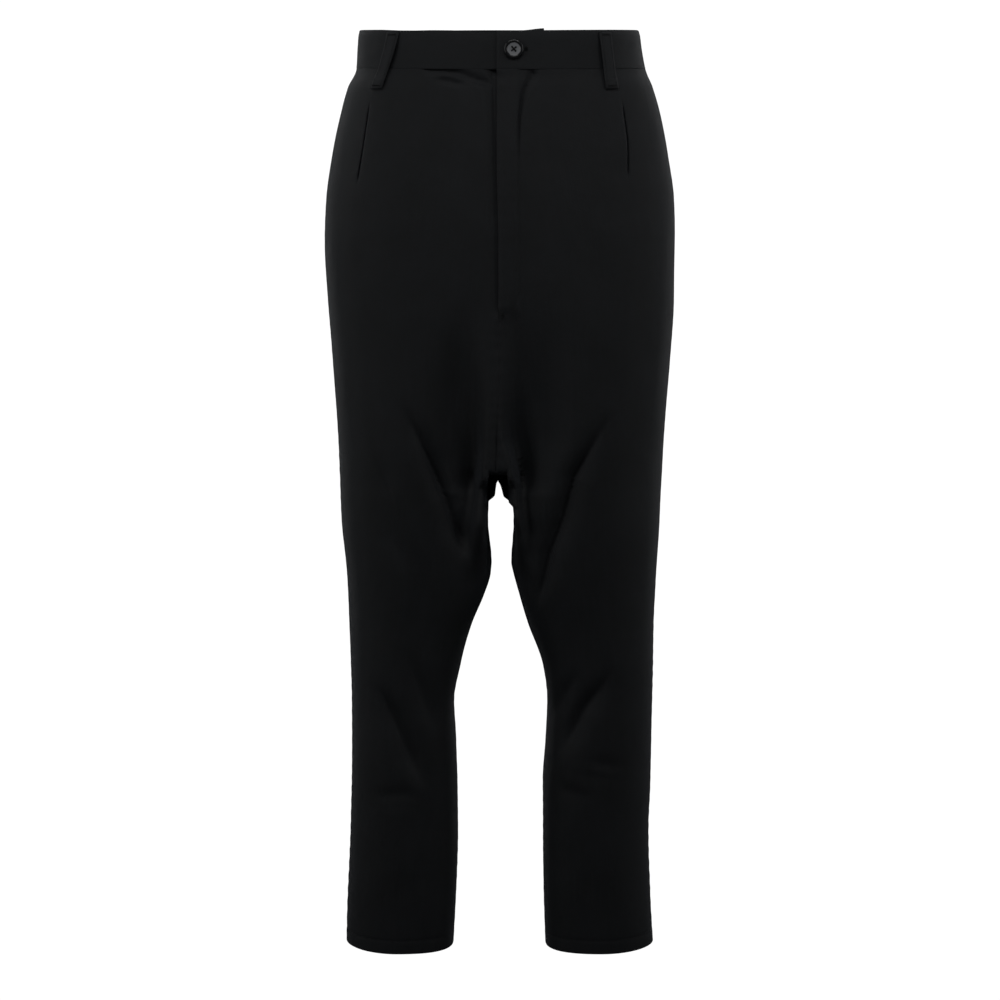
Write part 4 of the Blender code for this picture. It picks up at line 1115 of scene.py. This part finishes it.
def ring_row(places, drop):
    """Points and outward normals round the waist, at these distances from the centre front, + to the left."""
    points, normals = np.zeros((len(places), 3)), np.zeros((len(places), 3))
    from_front = np.abs(places)
    for half, on_half in ((RIGHT, places < 0), (LEFT, places >= 0)):
        on_front = from_front <= width_of(half, FRONT, drop)
        from_back = half_ring(half, drop) - from_front
        for face, on_face, from_centre in ((FRONT, on_front, from_front), (BACK, ~on_front, from_back)):
            chosen = on_half & on_face
            if chosen.any():
                points[chosen], normals[chosen] = base_row(half, face, drop, from_centre[chosen])
    return points, normals


def band_outline(squeeze):
    """The band's cross-section as (drop, depth) pairs, from its lower outer corner over the top and back."""
    top = BAND_THICK / 2
    flat = np.linspace(BAND_HEIGHT - BAND_FOOT, top, BAND_ROWS)
    foot = corner(np.radians([90, 45, 0]), BAND_CORNER)
    outline = [(BAND_HEIGHT - short, depth) for short, depth in foot]
    outline += [(drop, 0.0) for drop in flat] + corner(np.radians([30, 60, 90, 120, 150]), top)
    outline += [(drop, BAND_THICK) for drop in flat[::-1]]
    outline += [(BAND_HEIGHT - short, BAND_THICK - depth) for short, depth in foot[::-1]]
    size = np.array([BAND_HEIGHT / 2, BAND_THICK / 2])
    return size + (np.array(outline) - size) * (1 - squeeze / size)


print("half the waist:", [round(half_ring(half, 0.0)) for half in SIDE], "mm on the right and left")


# %% How the two ends of the band lie
def over_lift(place):
    """The overlapping end stands proud of the ring past the button, and settles beyond it."""
    return BAND_LIFT - (BAND_LIFT - BAND_SEATED) * soft_step(place, *LIFT_FADE)


def under_lift(place):
    """The underlap sinks behind the overlapping end."""
    sunk = soft_step(place, OVERLAP_END - UNDERLAP_SINKS, OVERLAP_END - UNDERLAP_SUNK)
    return BAND_SEATED * (1 - sunk) + (over_lift(place) - 2 * BAND_LIFT) * sunk


def underlap_top(place):
    """The underlap's end stands up a little, and the band's right half sags beside the button."""
    sag = np.interp(place, [at for at, _ in TOP_SAGS], [low for _, low in TOP_SAGS])
    return UNDERLAP_CORNER * soft_step(place, UNDERLAP_END / 2, UNDERLAP_END) - sag


def level_top(place):
    """The overlapping end and its half of the band run level."""
    return np.zeros(np.shape(place))


print("the underlap's end lies", round(-float(under_lift(UNDERLAP_END)), 2), "mm behind the ring")


# %% Sweep the waistband
def close_ends(mesh, count):
    """Caps both ends of a closed sweep whose rings have this many points."""
    shape = bmesh.new()
    shape.from_mesh(mesh)
    shape.verts.ensure_lookup_table()
    shape.faces.new(shape.verts[:count])
    shape.faces.new(shape.verts[-count:])
    bmesh.ops.recalc_face_normals(shape, faces=shape.faces)
    shape.to_mesh(mesh)
    shape.free()
    mesh.shade_smooth()
    return mesh


def band_mesh(name, half, start, lift, raise_top):
    """One half of the waistband, from its end at the centre front to the centre back."""
    end = half_ring(half, BAND_HEIGHT / 2)
    turns = corner(np.radians([90, 45]), BAND_CORNER)
    stations = [(start + step, squeeze) for step, squeeze in turns]
    stations += [(place, 0.0) for place in even(start + BAND_CORNER, end - BAND_CORNER, BAND_STEP)]
    stations += [(end - BAND_CORNER, 0.0)] + [(end - step, squeeze) for step, squeeze in turns[::-1]]
    grid, pattern = [], []
    for place, squeeze in stations:
        ring, chart = [], []
        for drop, depth in band_outline(squeeze):
            around = half * place * half_ring(half, drop) / end
            point, normal = ring_row(np.array([around]), drop)
            out = normal[0] * [1.0, 1.0, 0.0]
            out /= np.linalg.norm(out)
            rise = raise_top(half * place) * (1 - drop / BAND_HEIGHT)
            spot = Vector((place / BAND_WAVE_LONG, drop / BAND_WAVE_TALL, BAND_SEED + half))
            lean = TOP_LEANS * max(0.0, 1 - drop / TOP_LEANS_OVER) ** 2
            moved = out * (lift(half * place) - depth - lean + BAND_WAVE * noise.noise(spot))
            ring.append((point[0] + moved + [0.0, 0.0, rise]) * MM)
            chart.append((drop * MM * (1 if depth < BAND_THICK / 2 else -1), place * MM))
        grid.append(ring)
        pattern.append(chart)
    mesh = grid_mesh(name, np.array(grid), np.array(pattern), half < 0, closed=True)
    return close_ends(mesh, len(ring))


for half, start, lift, raise_top in (
    (LEFT, OVERLAP_END, over_lift, level_top),
    (RIGHT, -UNDERLAP_END, under_lift, underlap_top),
):
    name = "waistband_" + SIDE[half]
    mesh = band_mesh(name + "_cloth", half, start, lift, raise_top)
    add_piece(name + "_cloth", mesh, band_twill, stands_for=(name,))
    print(name, f"surface {area_of(mesh):.4f} m2")

# %% [markdown]
# ## The fly shield
# Behind the fly lies a plain strip of the same cloth. Only its upper end could ever be glimpsed, from above,
# so it is a simple sheet with some thickness.

# %% Fly shield
SHIELD_INSET = 4.3
SHIELD_WALL = 1.5
SHIELD_TOP = 44.0
SHIELD_FROM, SHIELD_TO = -14.0, 30.0
SHIELD_ROWS, SHIELD_COLUMNS = 60, 14

grid, pattern = [], []
for drop in np.linspace(SHIELD_TOP, FLY_END, SHIELD_ROWS):
    places = np.linspace(SHIELD_FROM, SHIELD_TO, SHIELD_COLUMNS)
    points, normals = ring_row(places, float(drop))
    grid.append((points - normals * SHIELD_INSET) * MM)
    pattern.append(np.column_stack([places, np.full(len(places), -drop)]) * MM)
mesh = grid_mesh("fly_shield_cloth", np.array(grid), np.array(pattern), True)
shield = add_piece("fly_shield_cloth", mesh, panel_twill, stands_for=("fly_shield",))
thicken(shield, SHIELD_WALL)
print(shield.name, f"area {area_of(mesh):.4f} m2")

# %% [markdown]
# ## Belt loops
# A belt loop is a narrow strip, folded lengthwise and edge-stitched, whose lower end is turned under and
# tacked to the trousers and whose upper end is caught in the waistband's top. Between the tacks it stands off
# the band by the thickness of a belt's leather and a little more. The loop is a closed strap: a row of points
# across it is lifted off the cloth and swept down.

# %% Sizes of the belt loops
LOOP_WIDTH = 15.0
LOOP_WALL = 1.5
LOOP_TOP = 2.5
LOOP_END = 61.5
LOOP_LONG = LOOP_END - LOOP_TOP
LOOP_STANDS_OFF = 2.8
LOOP_EDGE_LIFTS = 0.9  # the edge nearer the centre stands off this much more, and the other one less
LOOP_FULLNESS = 0.7
LOOP_TURNED = (LOOP_LONG - 10.5, LOOP_LONG - 9.0)  # here the end that is turned under begins
LOOP_TURNED_EXTRA = 0.7
LOOP_EDGE_POWER = 16  # the higher, the narrower the rounded long edges
LOOP_EDGE_TOP, LOOP_EDGE_LOW = 0.4, 0.3  # heights of the two faces at the long edges, as shares of the strap
LOOP_ROUNDED = [(0.0, 0.8), (0.35, 0.35)]  # an end's last millimetre: (run, how far it draws in)
LOOP_DRAWS_DOWN, LOOP_DRAWS_UP = 0.5, 0.4
LOOP_STATIONS = 44
LOOP_ACROSS = np.array([-1.0, -0.975, -0.9, -0.45, 0.0, 0.45, 0.9, 0.975, 1.0]) * LOOP_WIDTH / 2
LOOP_BOW = 1.5  # a slanting loop hangs straighter above than below
SEAM_GAP = 0.3
Loop = namedtuple("Loop", "name half face top bottom")
LOOPS = [
    Loop("belt_loop_front_right", RIGHT, FRONT, 108.5, 125.5),
    Loop("belt_loop_front_left", LEFT, FRONT, 110.4, 117.3),
    Loop("belt_loop_back_right", RIGHT, BACK, 84.0, 88.0),
    Loop("belt_loop_back_left", LEFT, BACK, 84.0, 88.0),
    Loop("belt_loop_centre_back", LEFT, BACK, 0.0, 0.0),
]
print(len(LOOPS), "belt loops of", LOOP_WIDTH, "x", LOOP_LONG, "mm")


# %% Shape of a belt loop
def loop_places(loop, drop, middle, offsets):
    """Distances round from the centre front of points on a belt loop, offset from its middle line."""
    points, distance = measured(loop.half, loop.face, drop)
    from_centre = np.interp(middle, np.abs(points[:, 0]), distance) + offsets
    if loop.face == FRONT:
        return loop.half * from_centre
    return loop.half * (half_ring(loop.half, drop) - from_centre)


def wrap_back(places, drop):
    """A place past the centre back, on the left, belongs to the right half."""
    past = places - half_ring(LEFT, drop)
    return np.where(past > 0, past - half_ring(RIGHT, drop), places)


def strap_station(loop, share):
    """The underside's points across the loop at this share of its length, and the normals there."""
    drop = LOOP_TOP + LOOP_LONG * share
    middle = loop.top + (loop.bottom - loop.top) * share**LOOP_BOW
    places = wrap_back(loop_places(loop, drop, middle, LOOP_ACROSS), drop)
    points, normals = ring_row(places, drop)
    folds = max(0.0, relief(loop.half, loop.face, points[:, 0], drop).max()) if drop > BAND_HEIGHT else 0.0
    stand = SEAM_GAP + (LOOP_STANDS_OFF - SEAM_GAP) * math.sin(math.pi * share) ** LOOP_FULLNESS
    slants = loop.bottom != loop.top
    lifted = LOOP_EDGE_LIFTS * math.sin(math.pi * share) * LOOP_ACROSS / (LOOP_WIDTH / 2) * slants
    return points + normals * (folds + stand - lifted)[:, None], normals


def strap_thickness(run):
    """A loop is thicker where its lower end is turned under."""
    return LOOP_WALL + LOOP_TURNED_EXTRA * soft_step(run, *LOOP_TURNED)


def loop_mesh(loop):
    """A closed strap with rounded long edges and ends."""
    stations = LOOP_ROUNDED + [(run, 0.0) for run in np.linspace(1.0, LOOP_LONG - 1.0, LOOP_STATIONS)]
    stations += [(LOOP_LONG - run, draws) for run, draws in LOOP_ROUNDED[::-1]]
    inner = (1 - (np.abs(LOOP_ACROSS) / (LOOP_WIDTH / 2)) ** LOOP_EDGE_POWER)[:, None]
    across = np.concatenate([LOOP_ACROSS, LOOP_ACROSS[::-1] + 2 * LOOP_WIDTH])
    grid, pattern = [], []
    for run, draws in stations:
        under, normals = strap_station(loop, run / LOOP_LONG)
        thick = strap_thickness(run)
        rise = LOOP_EDGE_TOP + (1 - LOOP_EDGE_TOP) * inner - draws * LOOP_DRAWS_DOWN
        sink = LOOP_EDGE_LOW * (1 - inner) + draws * LOOP_DRAWS_UP
        top, low = under + normals * thick * rise, under + normals * thick * sink
        grid.append(np.concatenate([top, low[::-1]]) * MM)
        pattern.append(np.column_stack([across, np.full(len(across), -run)]) * MM)
    mesh = grid_mesh(loop.name + "_cloth", np.array(grid), np.array(pattern), True, closed=True)
    return close_ends(mesh, len(across))


# %% Make the belt loops
for loop in LOOPS:
    add_piece(loop.name + "_cloth", loop_mesh(loop), band_twill, stands_for=(loop.name,))

# %% [markdown]
# ## Stitches
# A machine stitch shows as a short length of thread that dips into the cloth at both ends. Drawn as bump it
# would vanish from the side, so each stitch is a small mesh: a ring of six points, swept from one needle hole
# to the next, thicker and higher in the middle. One function makes a whole line of them.

# %% A row of stitches
THREAD = 0.36
STITCH, STITCH_GAP = 2.5, 0.5
STITCH_SIDES = 6
# One row a ring along a stitch: its place, its size and its height, as shares
RINGS = np.array([(0.0, 0.3, 0.0), (0.12, 0.85, 0.55), (0.5, 1.0, 1.0), (0.88, 0.85, 0.55), (1.0, 0.3, 0.0)])


def stitch_mesh(name, stitches, thick=THREAD):
    """Stitches as one mesh; each is (start, end, outward normal, height), in millimetres."""
    points, faces, chart = [], [], []
    for start, end, normal, rise in stitches:
        way = end - start
        long = np.linalg.norm(way)
        side = np.cross(way / long, normal)
        first = len(points)
        for share, size, lift in RINGS:
            for i in range(STITCH_SIDES):
                a = 2 * math.pi * i / STITCH_SIDES
                reach = (side * math.cos(a) + normal * math.sin(a)) * size * thick / 2
                points.append((start + way * share + normal * lift * rise + reach) * MM)
                chart.append((a * thick / 2 * MM, share * long * MM))
        for ring in range(len(RINGS) - 1):
            for i in range(STITCH_SIDES):
                a, b = first + ring * STITCH_SIDES + i, first + ring * STITCH_SIDES + (i + 1) % STITCH_SIDES
                faces.append((a, b, b + STITCH_SIDES, a + STITCH_SIDES))
        last = first + (len(RINGS) - 1) * STITCH_SIDES
        faces.append(tuple(range(first, first + STITCH_SIDES))[::-1])
        faces.append(tuple(range(last, last + STITCH_SIDES)))
    mesh = bpy.data.meshes.new(name)
    mesh.from_pydata([tuple(point) for point in points], [], faces)
    layer = mesh.uv_layers.new(name="pattern")
    for corner in mesh.loops:
        layer.data[corner.index].uv = chart[corner.vertex_index]
    mesh.shade_smooth()
    return mesh


def line_of_stitches(points, normals, rise=0.1):
    """Stitches of equal length along a line of points that lie on the cloth."""
    runs = run_along(points)
    count = max(1, round(runs[-1] / (STITCH + STITCH_GAP)))
    step = runs[-1] / count
    found = []
    for i in range(count):
        holes = (i * step + STITCH_GAP / 2, (i + 1) * step - STITCH_GAP / 2)
        ends = [between(run, runs, points) for run in holes]
        normal = between((i + 0.5) * step, runs, normals)
        found.append((*ends, normal / np.linalg.norm(normal), rise))
    return found


print("a stitch of", STITCH, "mm, then", STITCH_GAP, "mm to the next")


# %% Lines on a panel
def on_panel(half, face, route):
    """Points on the outer cloth of a panel, with their normals, along (place from the centre seam, drop)."""
    found, out = [], []
    for place, drop in route:
        places = np.array([float(place)])
        points, normals = base_row(half, face, float(drop), places)
        level = np.abs(normals[:, 1])
        rise = relief(half, face, points[:, 0], drop) * level
        rise += fine_relief(half, face, places, points, float(drop), level)
        found.append(points[0] + normals[0] * rise[0])
        out.append(normals[0])
    return np.array(found), np.array(out)


def finely(route, step):
    """A route with points about step apart."""
    dense = []
    for (x0, d0), (x1, d1) in zip(route, route[1:]):
        count = max(1, round(math.hypot(x1 - x0, d1 - d0) / step))
        dense += [(x0 + (x1 - x0) * i / count, d0 + (d1 - d0) * i / count) for i in range(count)]
    return dense + [route[-1]]


# %% Bars of close stitches
TACK_PITCH = 0.55
TACK_LIES, TACK_RISE = 0.12, 0.3  # a bar's stitches begin this high and rise this much
TACK_LEAN = 0.2  # they zigzag by this much
DOWN = np.array([0.0, 0.0, -1.0])


def bartack(middle, along_way, normal, long, wide):
    """A dense bar of stitches: wide is the length of each, long the length of the bar."""
    across = np.cross(along_way, normal)
    count = round(long / TACK_PITCH)
    found = []
    for i in range(count):
        place = middle + along_way * ((i + 0.5) / count - 0.5) * long + normal * TACK_LIES
        half = across * wide / 2 + along_way * TACK_LEAN * (1 if i % 2 else -1)
        found.append((place - half, place + half, normal, TACK_RISE))
    return found


print("a bar of 10 mm has", round(10 / TACK_PITCH), "stitches")

# %% Topstitching of the fly and the hems
FLY_TACK, FLY_TACK_LONG, FLY_TACK_WIDE = (4.5, 292.0), 8.0, 2.2
HEM_POINTS, HEM_CLEAR = 40, 1.5
fly_stitches = line_of_stitches(*on_panel(LEFT, FRONT, finely(FLY_J, 2.0)))
foot, foot_normal = on_panel(LEFT, FRONT, [FLY_TACK])
fly_stitches += bartack(foot[0], DOWN, foot_normal[0], FLY_TACK_LONG, FLY_TACK_WIDE)
fly_stitching = add_piece("fly_stitching", stitch_mesh("fly_stitching", fly_stitches), thread)

hem_stitching = {}
drop = HEM - HEM_STITCH_UP
for half, side in SIDE.items():
    stitches = []
    for face in WAY:
        places = np.linspace(HEM_CLEAR, width_of(half, face, drop) - HEM_CLEAR, HEM_POINTS)
        stitches += line_of_stitches(*on_panel(half, face, [(place, drop) for place in places]))
    name = f"hem_stitching_{side}"
    hem_stitching[half] = add_piece(name, stitch_mesh(name, stitches), thread)
    print(name, len(stitches), "stitches")
print("fly:", len(fly_stitches), "stitches")

# %% Edge stitching and tacks of the belt loops
LOOP_STITCH_IN, LOOP_STITCH_RISE = 2.3, 0.15
LOOP_STITCHED = np.linspace(3.0, LOOP_LONG - 2.0, 24)  # from near the top to near the foot
LOOP_TACKS = (2.6, LOOP_LONG - 3.2)
LOOP_TACK_LONG, LOOP_TACK_WIDE = 10.0, 1.8
MIDDLE = len(LOOP_ACROSS) // 2


def on_loop(loop, run, place):
    """A point on a loop's outer face, and its normal; place is its distance from the loop's middle."""
    under, normals = strap_station(loop, run / LOOP_LONG)
    return between(place, LOOP_ACROSS, under) + normals[MIDDLE] * strap_thickness(run), normals[MIDDLE]


for loop in LOOPS:
    stitches = []
    for edge in (-1, 1):
        line = [on_loop(loop, run, edge * (LOOP_WIDTH / 2 - LOOP_STITCH_IN)) for run in LOOP_STITCHED]
        stitches += line_of_stitches(*map(np.array, zip(*line)), rise=LOOP_STITCH_RISE)
    for run in LOOP_TACKS:
        under, _ = strap_station(loop, run / LOOP_LONG)
        across = under[-2] - under[1]
        at, normal = on_loop(loop, run, 0.0)
        stitches += bartack(at, across / np.linalg.norm(across), normal, LOOP_TACK_LONG, LOOP_TACK_WIDE)
    name = loop.name.replace("belt_loop", "loop_stitching")
    add_piece(name, stitch_mesh(name, stitches), thread)

# %% [markdown]
# ## Button and buttonhole
# The button is turned, so its outline is drawn once and spun round. Four holes are cut through it, and their
# edges are broken with a small bevel, as tumbling does. Two crossed bundles of thread hold it. The buttonhole
# lies behind it across the band, and only its far end, a bar of close stitches, shows beside the button.

# %% Sizes of the button
BUTTON_X, BUTTON_DROP = 16.2, 19.2
BUTTON_HEIGHT = 3.4
BUTTON_TURN = math.radians(-4)
HOLE_ACROSS, HOLE_SPACING = 2.0, 3.9
# The turned outline, from the middle of the dished face over the rim to the middle of the back
Ring = namedtuple("Ring", "across height")
BUTTON_RINGS = [Ring(0, 2.45), Ring(7.0, 2.47), Ring(11.4, 2.55), Ring(13.0, 2.8), Ring(14.0, 3.15),
                Ring(14.8, 3.36), Ring(15.8, 3.4), Ring(17.6, 3.36), Ring(18.8, 3.16), Ring(19.7, 2.75),
                Ring(20.2, 2.2), Ring(20.3, 1.7), Ring(20.0, 1.1), Ring(19.2, 0.5), Ring(18.2, 0.12),
                Ring(17.1, 0.0), Ring(0, 0.0)]
BUTTON_STEPS = 72
HOLE_SIDES = 28
TUMBLED, TUMBLED_FROM = 0.15, math.radians(50)  # edges sharper than this lose this much
HOLES = [(x * HOLE_SPACING / 2, y * HOLE_SPACING / 2) for x in (-1, 1) for y in (-1, 1)]

seats, facings = ring_row(np.array([BUTTON_X]), BUTTON_DROP)
facing = Vector(facings[0])
seat = Vector(seats[0] + facings[0] * (BAND_LIFT + SEAM_GAP)) * MM
spin = Matrix.Rotation(BUTTON_TURN, 4, "Z")
stand = Matrix.Translation(seat) @ facing.to_track_quat("Z", "Y").to_matrix().to_4x4() @ spin
print("the button sits at", [round(value / MM, 1) for value in seat], "mm")

# %% Turn the button
turning = bmesh.new()
outline = [turning.verts.new((ring.across / 2 * MM, 0.0, ring.height * MM)) for ring in BUTTON_RINGS]
rims = [turning.edges.new(pair) for pair in zip(outline, outline[1:])]
bmesh.ops.spin(turning, geom=outline + rims, axis=(0, 0, 1), cent=(0, 0, 0), angle=2 * math.pi,
               steps=BUTTON_STEPS, use_merge=True)
bmesh.ops.remove_doubles(turning, verts=turning.verts, dist=0.01 * MM)
bmesh.ops.recalc_face_normals(turning, faces=turning.faces)
blank = bpy.data.meshes.new("button_resin")
turning.to_mesh(blank)
turning.free()
button = add_piece("button_resin", blank, resin, stands_for=("button",))
print("turned", len(blank.polygons), "faces")

# %% Drill its holes and break the edges
drill = bmesh.new()
for x, y in HOLES:
    place = Matrix.Translation(Vector((x, y, BUTTON_HEIGHT / 2)) * MM)
    bmesh.ops.create_cone(drill, cap_ends=True, segments=HOLE_SIDES, radius1=HOLE_ACROSS / 2 * MM,
                          radius2=HOLE_ACROSS / 2 * MM, depth=3 * BUTTON_HEIGHT * MM, matrix=place)
drill_mesh = bpy.data.meshes.new("button_drill")
drill.to_mesh(drill_mesh)
drill.free()
drill_bits = add_object("button_drill", drill_mesh)
cut = button.modifiers.new("holes", "BOOLEAN")
cut.operation = "DIFFERENCE"
cut.solver = "EXACT"
cut.object = drill_bits
soften = button.modifiers.new("tumbled", "BEVEL")
soften.width = TUMBLED * MM
soften.segments = 2
soften.limit_method = "ANGLE"
soften.angle_limit = TUMBLED_FROM
ready = bpy.data.meshes.new_from_object(button.evaluated_get(bpy.context.evaluated_depsgraph_get()))
button.modifiers.clear()
button.data = ready
bpy.data.objects.remove(drill_bits)
ready.shade_smooth()
button.matrix_world = stand
print("button", len(ready.polygons), "faces")

# %% Button thread
STRANDS = 3
STRAND_THICK, STRAND_APART = 0.55, 0.85  # the distance apart is a share of the thickness
FACE_HEIGHT = 2.47
STRAND_SUNK = 0.3  # the thread comes up from this far down its hole
CROSSING = [(0, 3, 0.75), (1, 2, 1.25)]  # from which hole to which, and how high the thread rises
ends = [np.array(stand @ Vector((x * MM, y * MM, FACE_HEIGHT * MM))) / MM for x, y in HOLES]
outward = np.array(facing)
crossing = []
for first, last, rise in CROSSING:
    start, end = ends[first], ends[last]
    beside = np.cross((end - start) / np.linalg.norm(end - start), outward)
    for strand in range(STRANDS):
        shift = beside * (strand - (STRANDS - 1) / 2) * STRAND_THICK * STRAND_APART - outward * STRAND_SUNK
        crossing.append((start + shift, end + shift, outward, rise))
button_thread = add_piece("button_thread", stitch_mesh("button_thread", crossing, STRAND_THICK),
                          near_black_thread_and_slit_shade)
print("button thread:", len(crossing), "strands")

# %% Buttonhole
HOLE_FROM, HOLE_TO = 25.9, 29.4
EYE_SLIT, EYE_STITCH = 0.15, 1.9  # its stitches run from one height to the other, on both sides of the slit
EYE_LIES = 0.1
EYE_TACK, EYE_TACK_WIDE = 0.5, 1.6  # the bar that ends it lies this far past it
eye = []
for place in np.arange(HOLE_FROM, HOLE_TO, TACK_PITCH):
    for side in (-1, 1):
        ends = []
        for drop in (BUTTON_DROP + side * EYE_SLIT, BUTTON_DROP + side * EYE_STITCH):
            points, normals = ring_row(np.array([float(place)]), drop)
            ends.append(points[0] + normals[0] * (BAND_LIFT + EYE_LIES))
        eye.append((*ends, normals[0], TACK_RISE))
points, normals = ring_row(np.array([HOLE_TO + EYE_TACK]), BUTTON_DROP)
eye += bartack(points[0] + normals[0] * BAND_LIFT, DOWN, normals[0], 2 * EYE_STITCH, EYE_TACK_WIDE)
# The buttonhole's stitches take the near-black thread, darker than the cloth, as painted shade for the slit
# between them
buttonhole = add_piece("buttonhole_stitching", stitch_mesh("buttonhole_stitching", eye), near_black_thread_and_slit_shade)
print("buttonhole", len(eye), "stitches")

# %% [markdown]
# ## Stitching on each panel
# Cloth hardly stretches, so the surface of a dressed panel has the area of its flat cut, which is printed
# above with its widest width; hem allowances are in it, seam allowances aren't. Here each front is paired
# with the hem stitching of its leg, and the left front also with the fly's; the pairs are not used further.

for (half, face), panel in panels.items():
    sewn_on = [hem_stitching[half]] if face == FRONT else []
    if (half, face) == (LEFT, FRONT):
        sewn_on.append(fly_stitching)

# %% [markdown]
# ## Studio
# The garment hangs in the air over a white floor in a white room, as catalogue pictures show it. Black
# cloth needs a dim room and large soft lights: one above the camera and a tall one on each side of it for the
# fronts, and more from the sides and from behind, whose light grazes the cloth and draws its rim.

# %% Floor
FLOOR = -1.10
FLOOR_REACH = 5.0
WHITE = (1.0, 1.0, 1.0, 1.0)
WHITE_GLOW = 1.05  # a little over white, so that it stays white in the picture


def white_floor():
    """A studio floor, white however it is lit; the room behind it is as white, from every side."""
    corners = [(FLOOR_REACH * x, FLOOR_REACH * y, FLOOR) for x, y in ((-1, -1), (1, -1), (1, 1), (-1, 1))]
    mesh = bpy.data.meshes.new("studio_floor")
    mesh.from_pydata(corners, [], [(0, 1, 2, 3)])
    material, tree, shader = new_material("white_paper_floor")
    feed(tree, shader, {"Base Color": opaque("#1a1a1a"), "Roughness": 0.9})
    glow = add_node(tree, "Emission", {"Color": WHITE, "Strength": WHITE_GLOW}).outputs[0]
    seen = add_node(tree, "LightPath").outputs["Is Camera Ray"]
    both = add_node(tree, "MixShader", {0: seen, 1: shader.outputs[0], 2: glow})
    feed(tree, tree.nodes["Material Output"], {"Surface": both.outputs[0]})
    mesh.materials.append(material)
    return add_object("studio_floor", mesh)


white_floor()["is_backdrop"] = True
print("floor", FLOOR, "m below the waist")

# %% Lights and world
ROOM = 0.004
# One row a light: its place and size in metres, its power in watts, and the height that it looks at
SoftBox = namedtuple("SoftBox", "name x y z wide tall power aims_at")
SOFT_BOXES = [
    SoftBox("key_over_camera", 0.0, -1.5, 1.2, 1.6, 0.6, 9.2, -0.2),
    SoftBox("front_right_side", -2.4, -1.8, 0.4, 0.9, 2.2, 12.0, -0.3),
    SoftBox("front_left_side", 2.4, -1.8, 0.4, 0.9, 2.2, 9.8, -0.3),
    SoftBox("side_right", -2.2, -0.4, 0.3, 0.7, 2.2, 2.2, -0.3),
    SoftBox("side_left", 2.2, -0.4, 0.3, 0.7, 2.2, 2.2, -0.3),
    SoftBox("rim_right", -2.0, 0.7, 0.2, 0.5, 2.2, 3.0, -0.3),
    SoftBox("rim_left", 2.0, 0.7, 0.2, 0.5, 2.2, 3.0, -0.3),
    SoftBox("rim_behind_right", -1.1, 1.9, 0.2, 0.5, 2.2, 3.8, -0.3),
    SoftBox("rim_behind_left", 1.1, 1.9, 0.2, 0.5, 2.2, 3.8, -0.3),
    SoftBox("rim_high_right", -1.4, 1.0, 1.0, 0.6, 0.8, 3.0, 0.0),
    SoftBox("rim_high_left", 1.4, 1.0, 1.0, 0.6, 0.8, 3.0, 0.0),
]
for box in SOFT_BOXES:
    light = bpy.data.lights.new(box.name, "AREA")
    light.shape = "RECTANGLE"
    light.size, light.size_y = box.wide, box.tall
    light.energy = box.power
    lamp = add_object(box.name, light)
    lamp.location = (box.x, box.y, box.z)
    aim = Vector((0.0, 0.0, box.aims_at)) - Vector(lamp.location)
    lamp.rotation_euler = aim.to_track_quat("-Z", "Y").to_euler()
    lamp.visible_camera = False

world = bpy.data.worlds.new("studio_room")
bpy.context.scene.world = world
world.use_nodes = True
room = world.node_tree
background = room.nodes.get("Background") or add_node(room, "Background")
seen = add_node(room, "LightPath").outputs["Is Camera Ray"]
strength = add_node(room, "MapRange", {"Value": seen, "To Min": ROOM, "To Max": WHITE_GLOW}).outputs["Result"]
feed(room, background, {"Color": WHITE, "Strength": strength})
bpy.context.scene.view_settings.view_transform = "Standard"
print(len(SOFT_BOXES), "lights,", round(sum(box.power for box in SOFT_BOXES), 1), "W in all")

# %% [markdown]
# ## Camera
# The garment is seen straight from the front, from 3.4 m away. The camera stands a little below the waist's
# level and looks slightly down, with a long lens that keeps the proportions true.

# %% Camera
CAMERA_PLACE = (0.002, -3.498, -0.100)
CAMERA_TILT = 6.15
LENS, SENSOR = 117.8, 36.0
lens = bpy.data.cameras.new("studio_camera")
lens.lens = LENS
lens.sensor_width = SENSOR
camera = add_object("studio_camera", lens)
camera.location = CAMERA_PLACE
camera.rotation_euler = (math.radians(90 - CAMERA_TILT), 0.0, 0.0)
bpy.context.scene.camera = camera
print("camera at", CAMERA_PLACE, "m, looking down by", CAMERA_TILT, "degrees")

# %% Sizes and the end
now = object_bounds()
for axis, word in enumerate("XYZ"):
    low, high = ((now[end][axis] - CAD_BOX[end][axis]) / MM for end in (0, 1))
    print(word, f"visual model past the CAD box: {-low:.1f} mm below, {high:.1f} mm above")
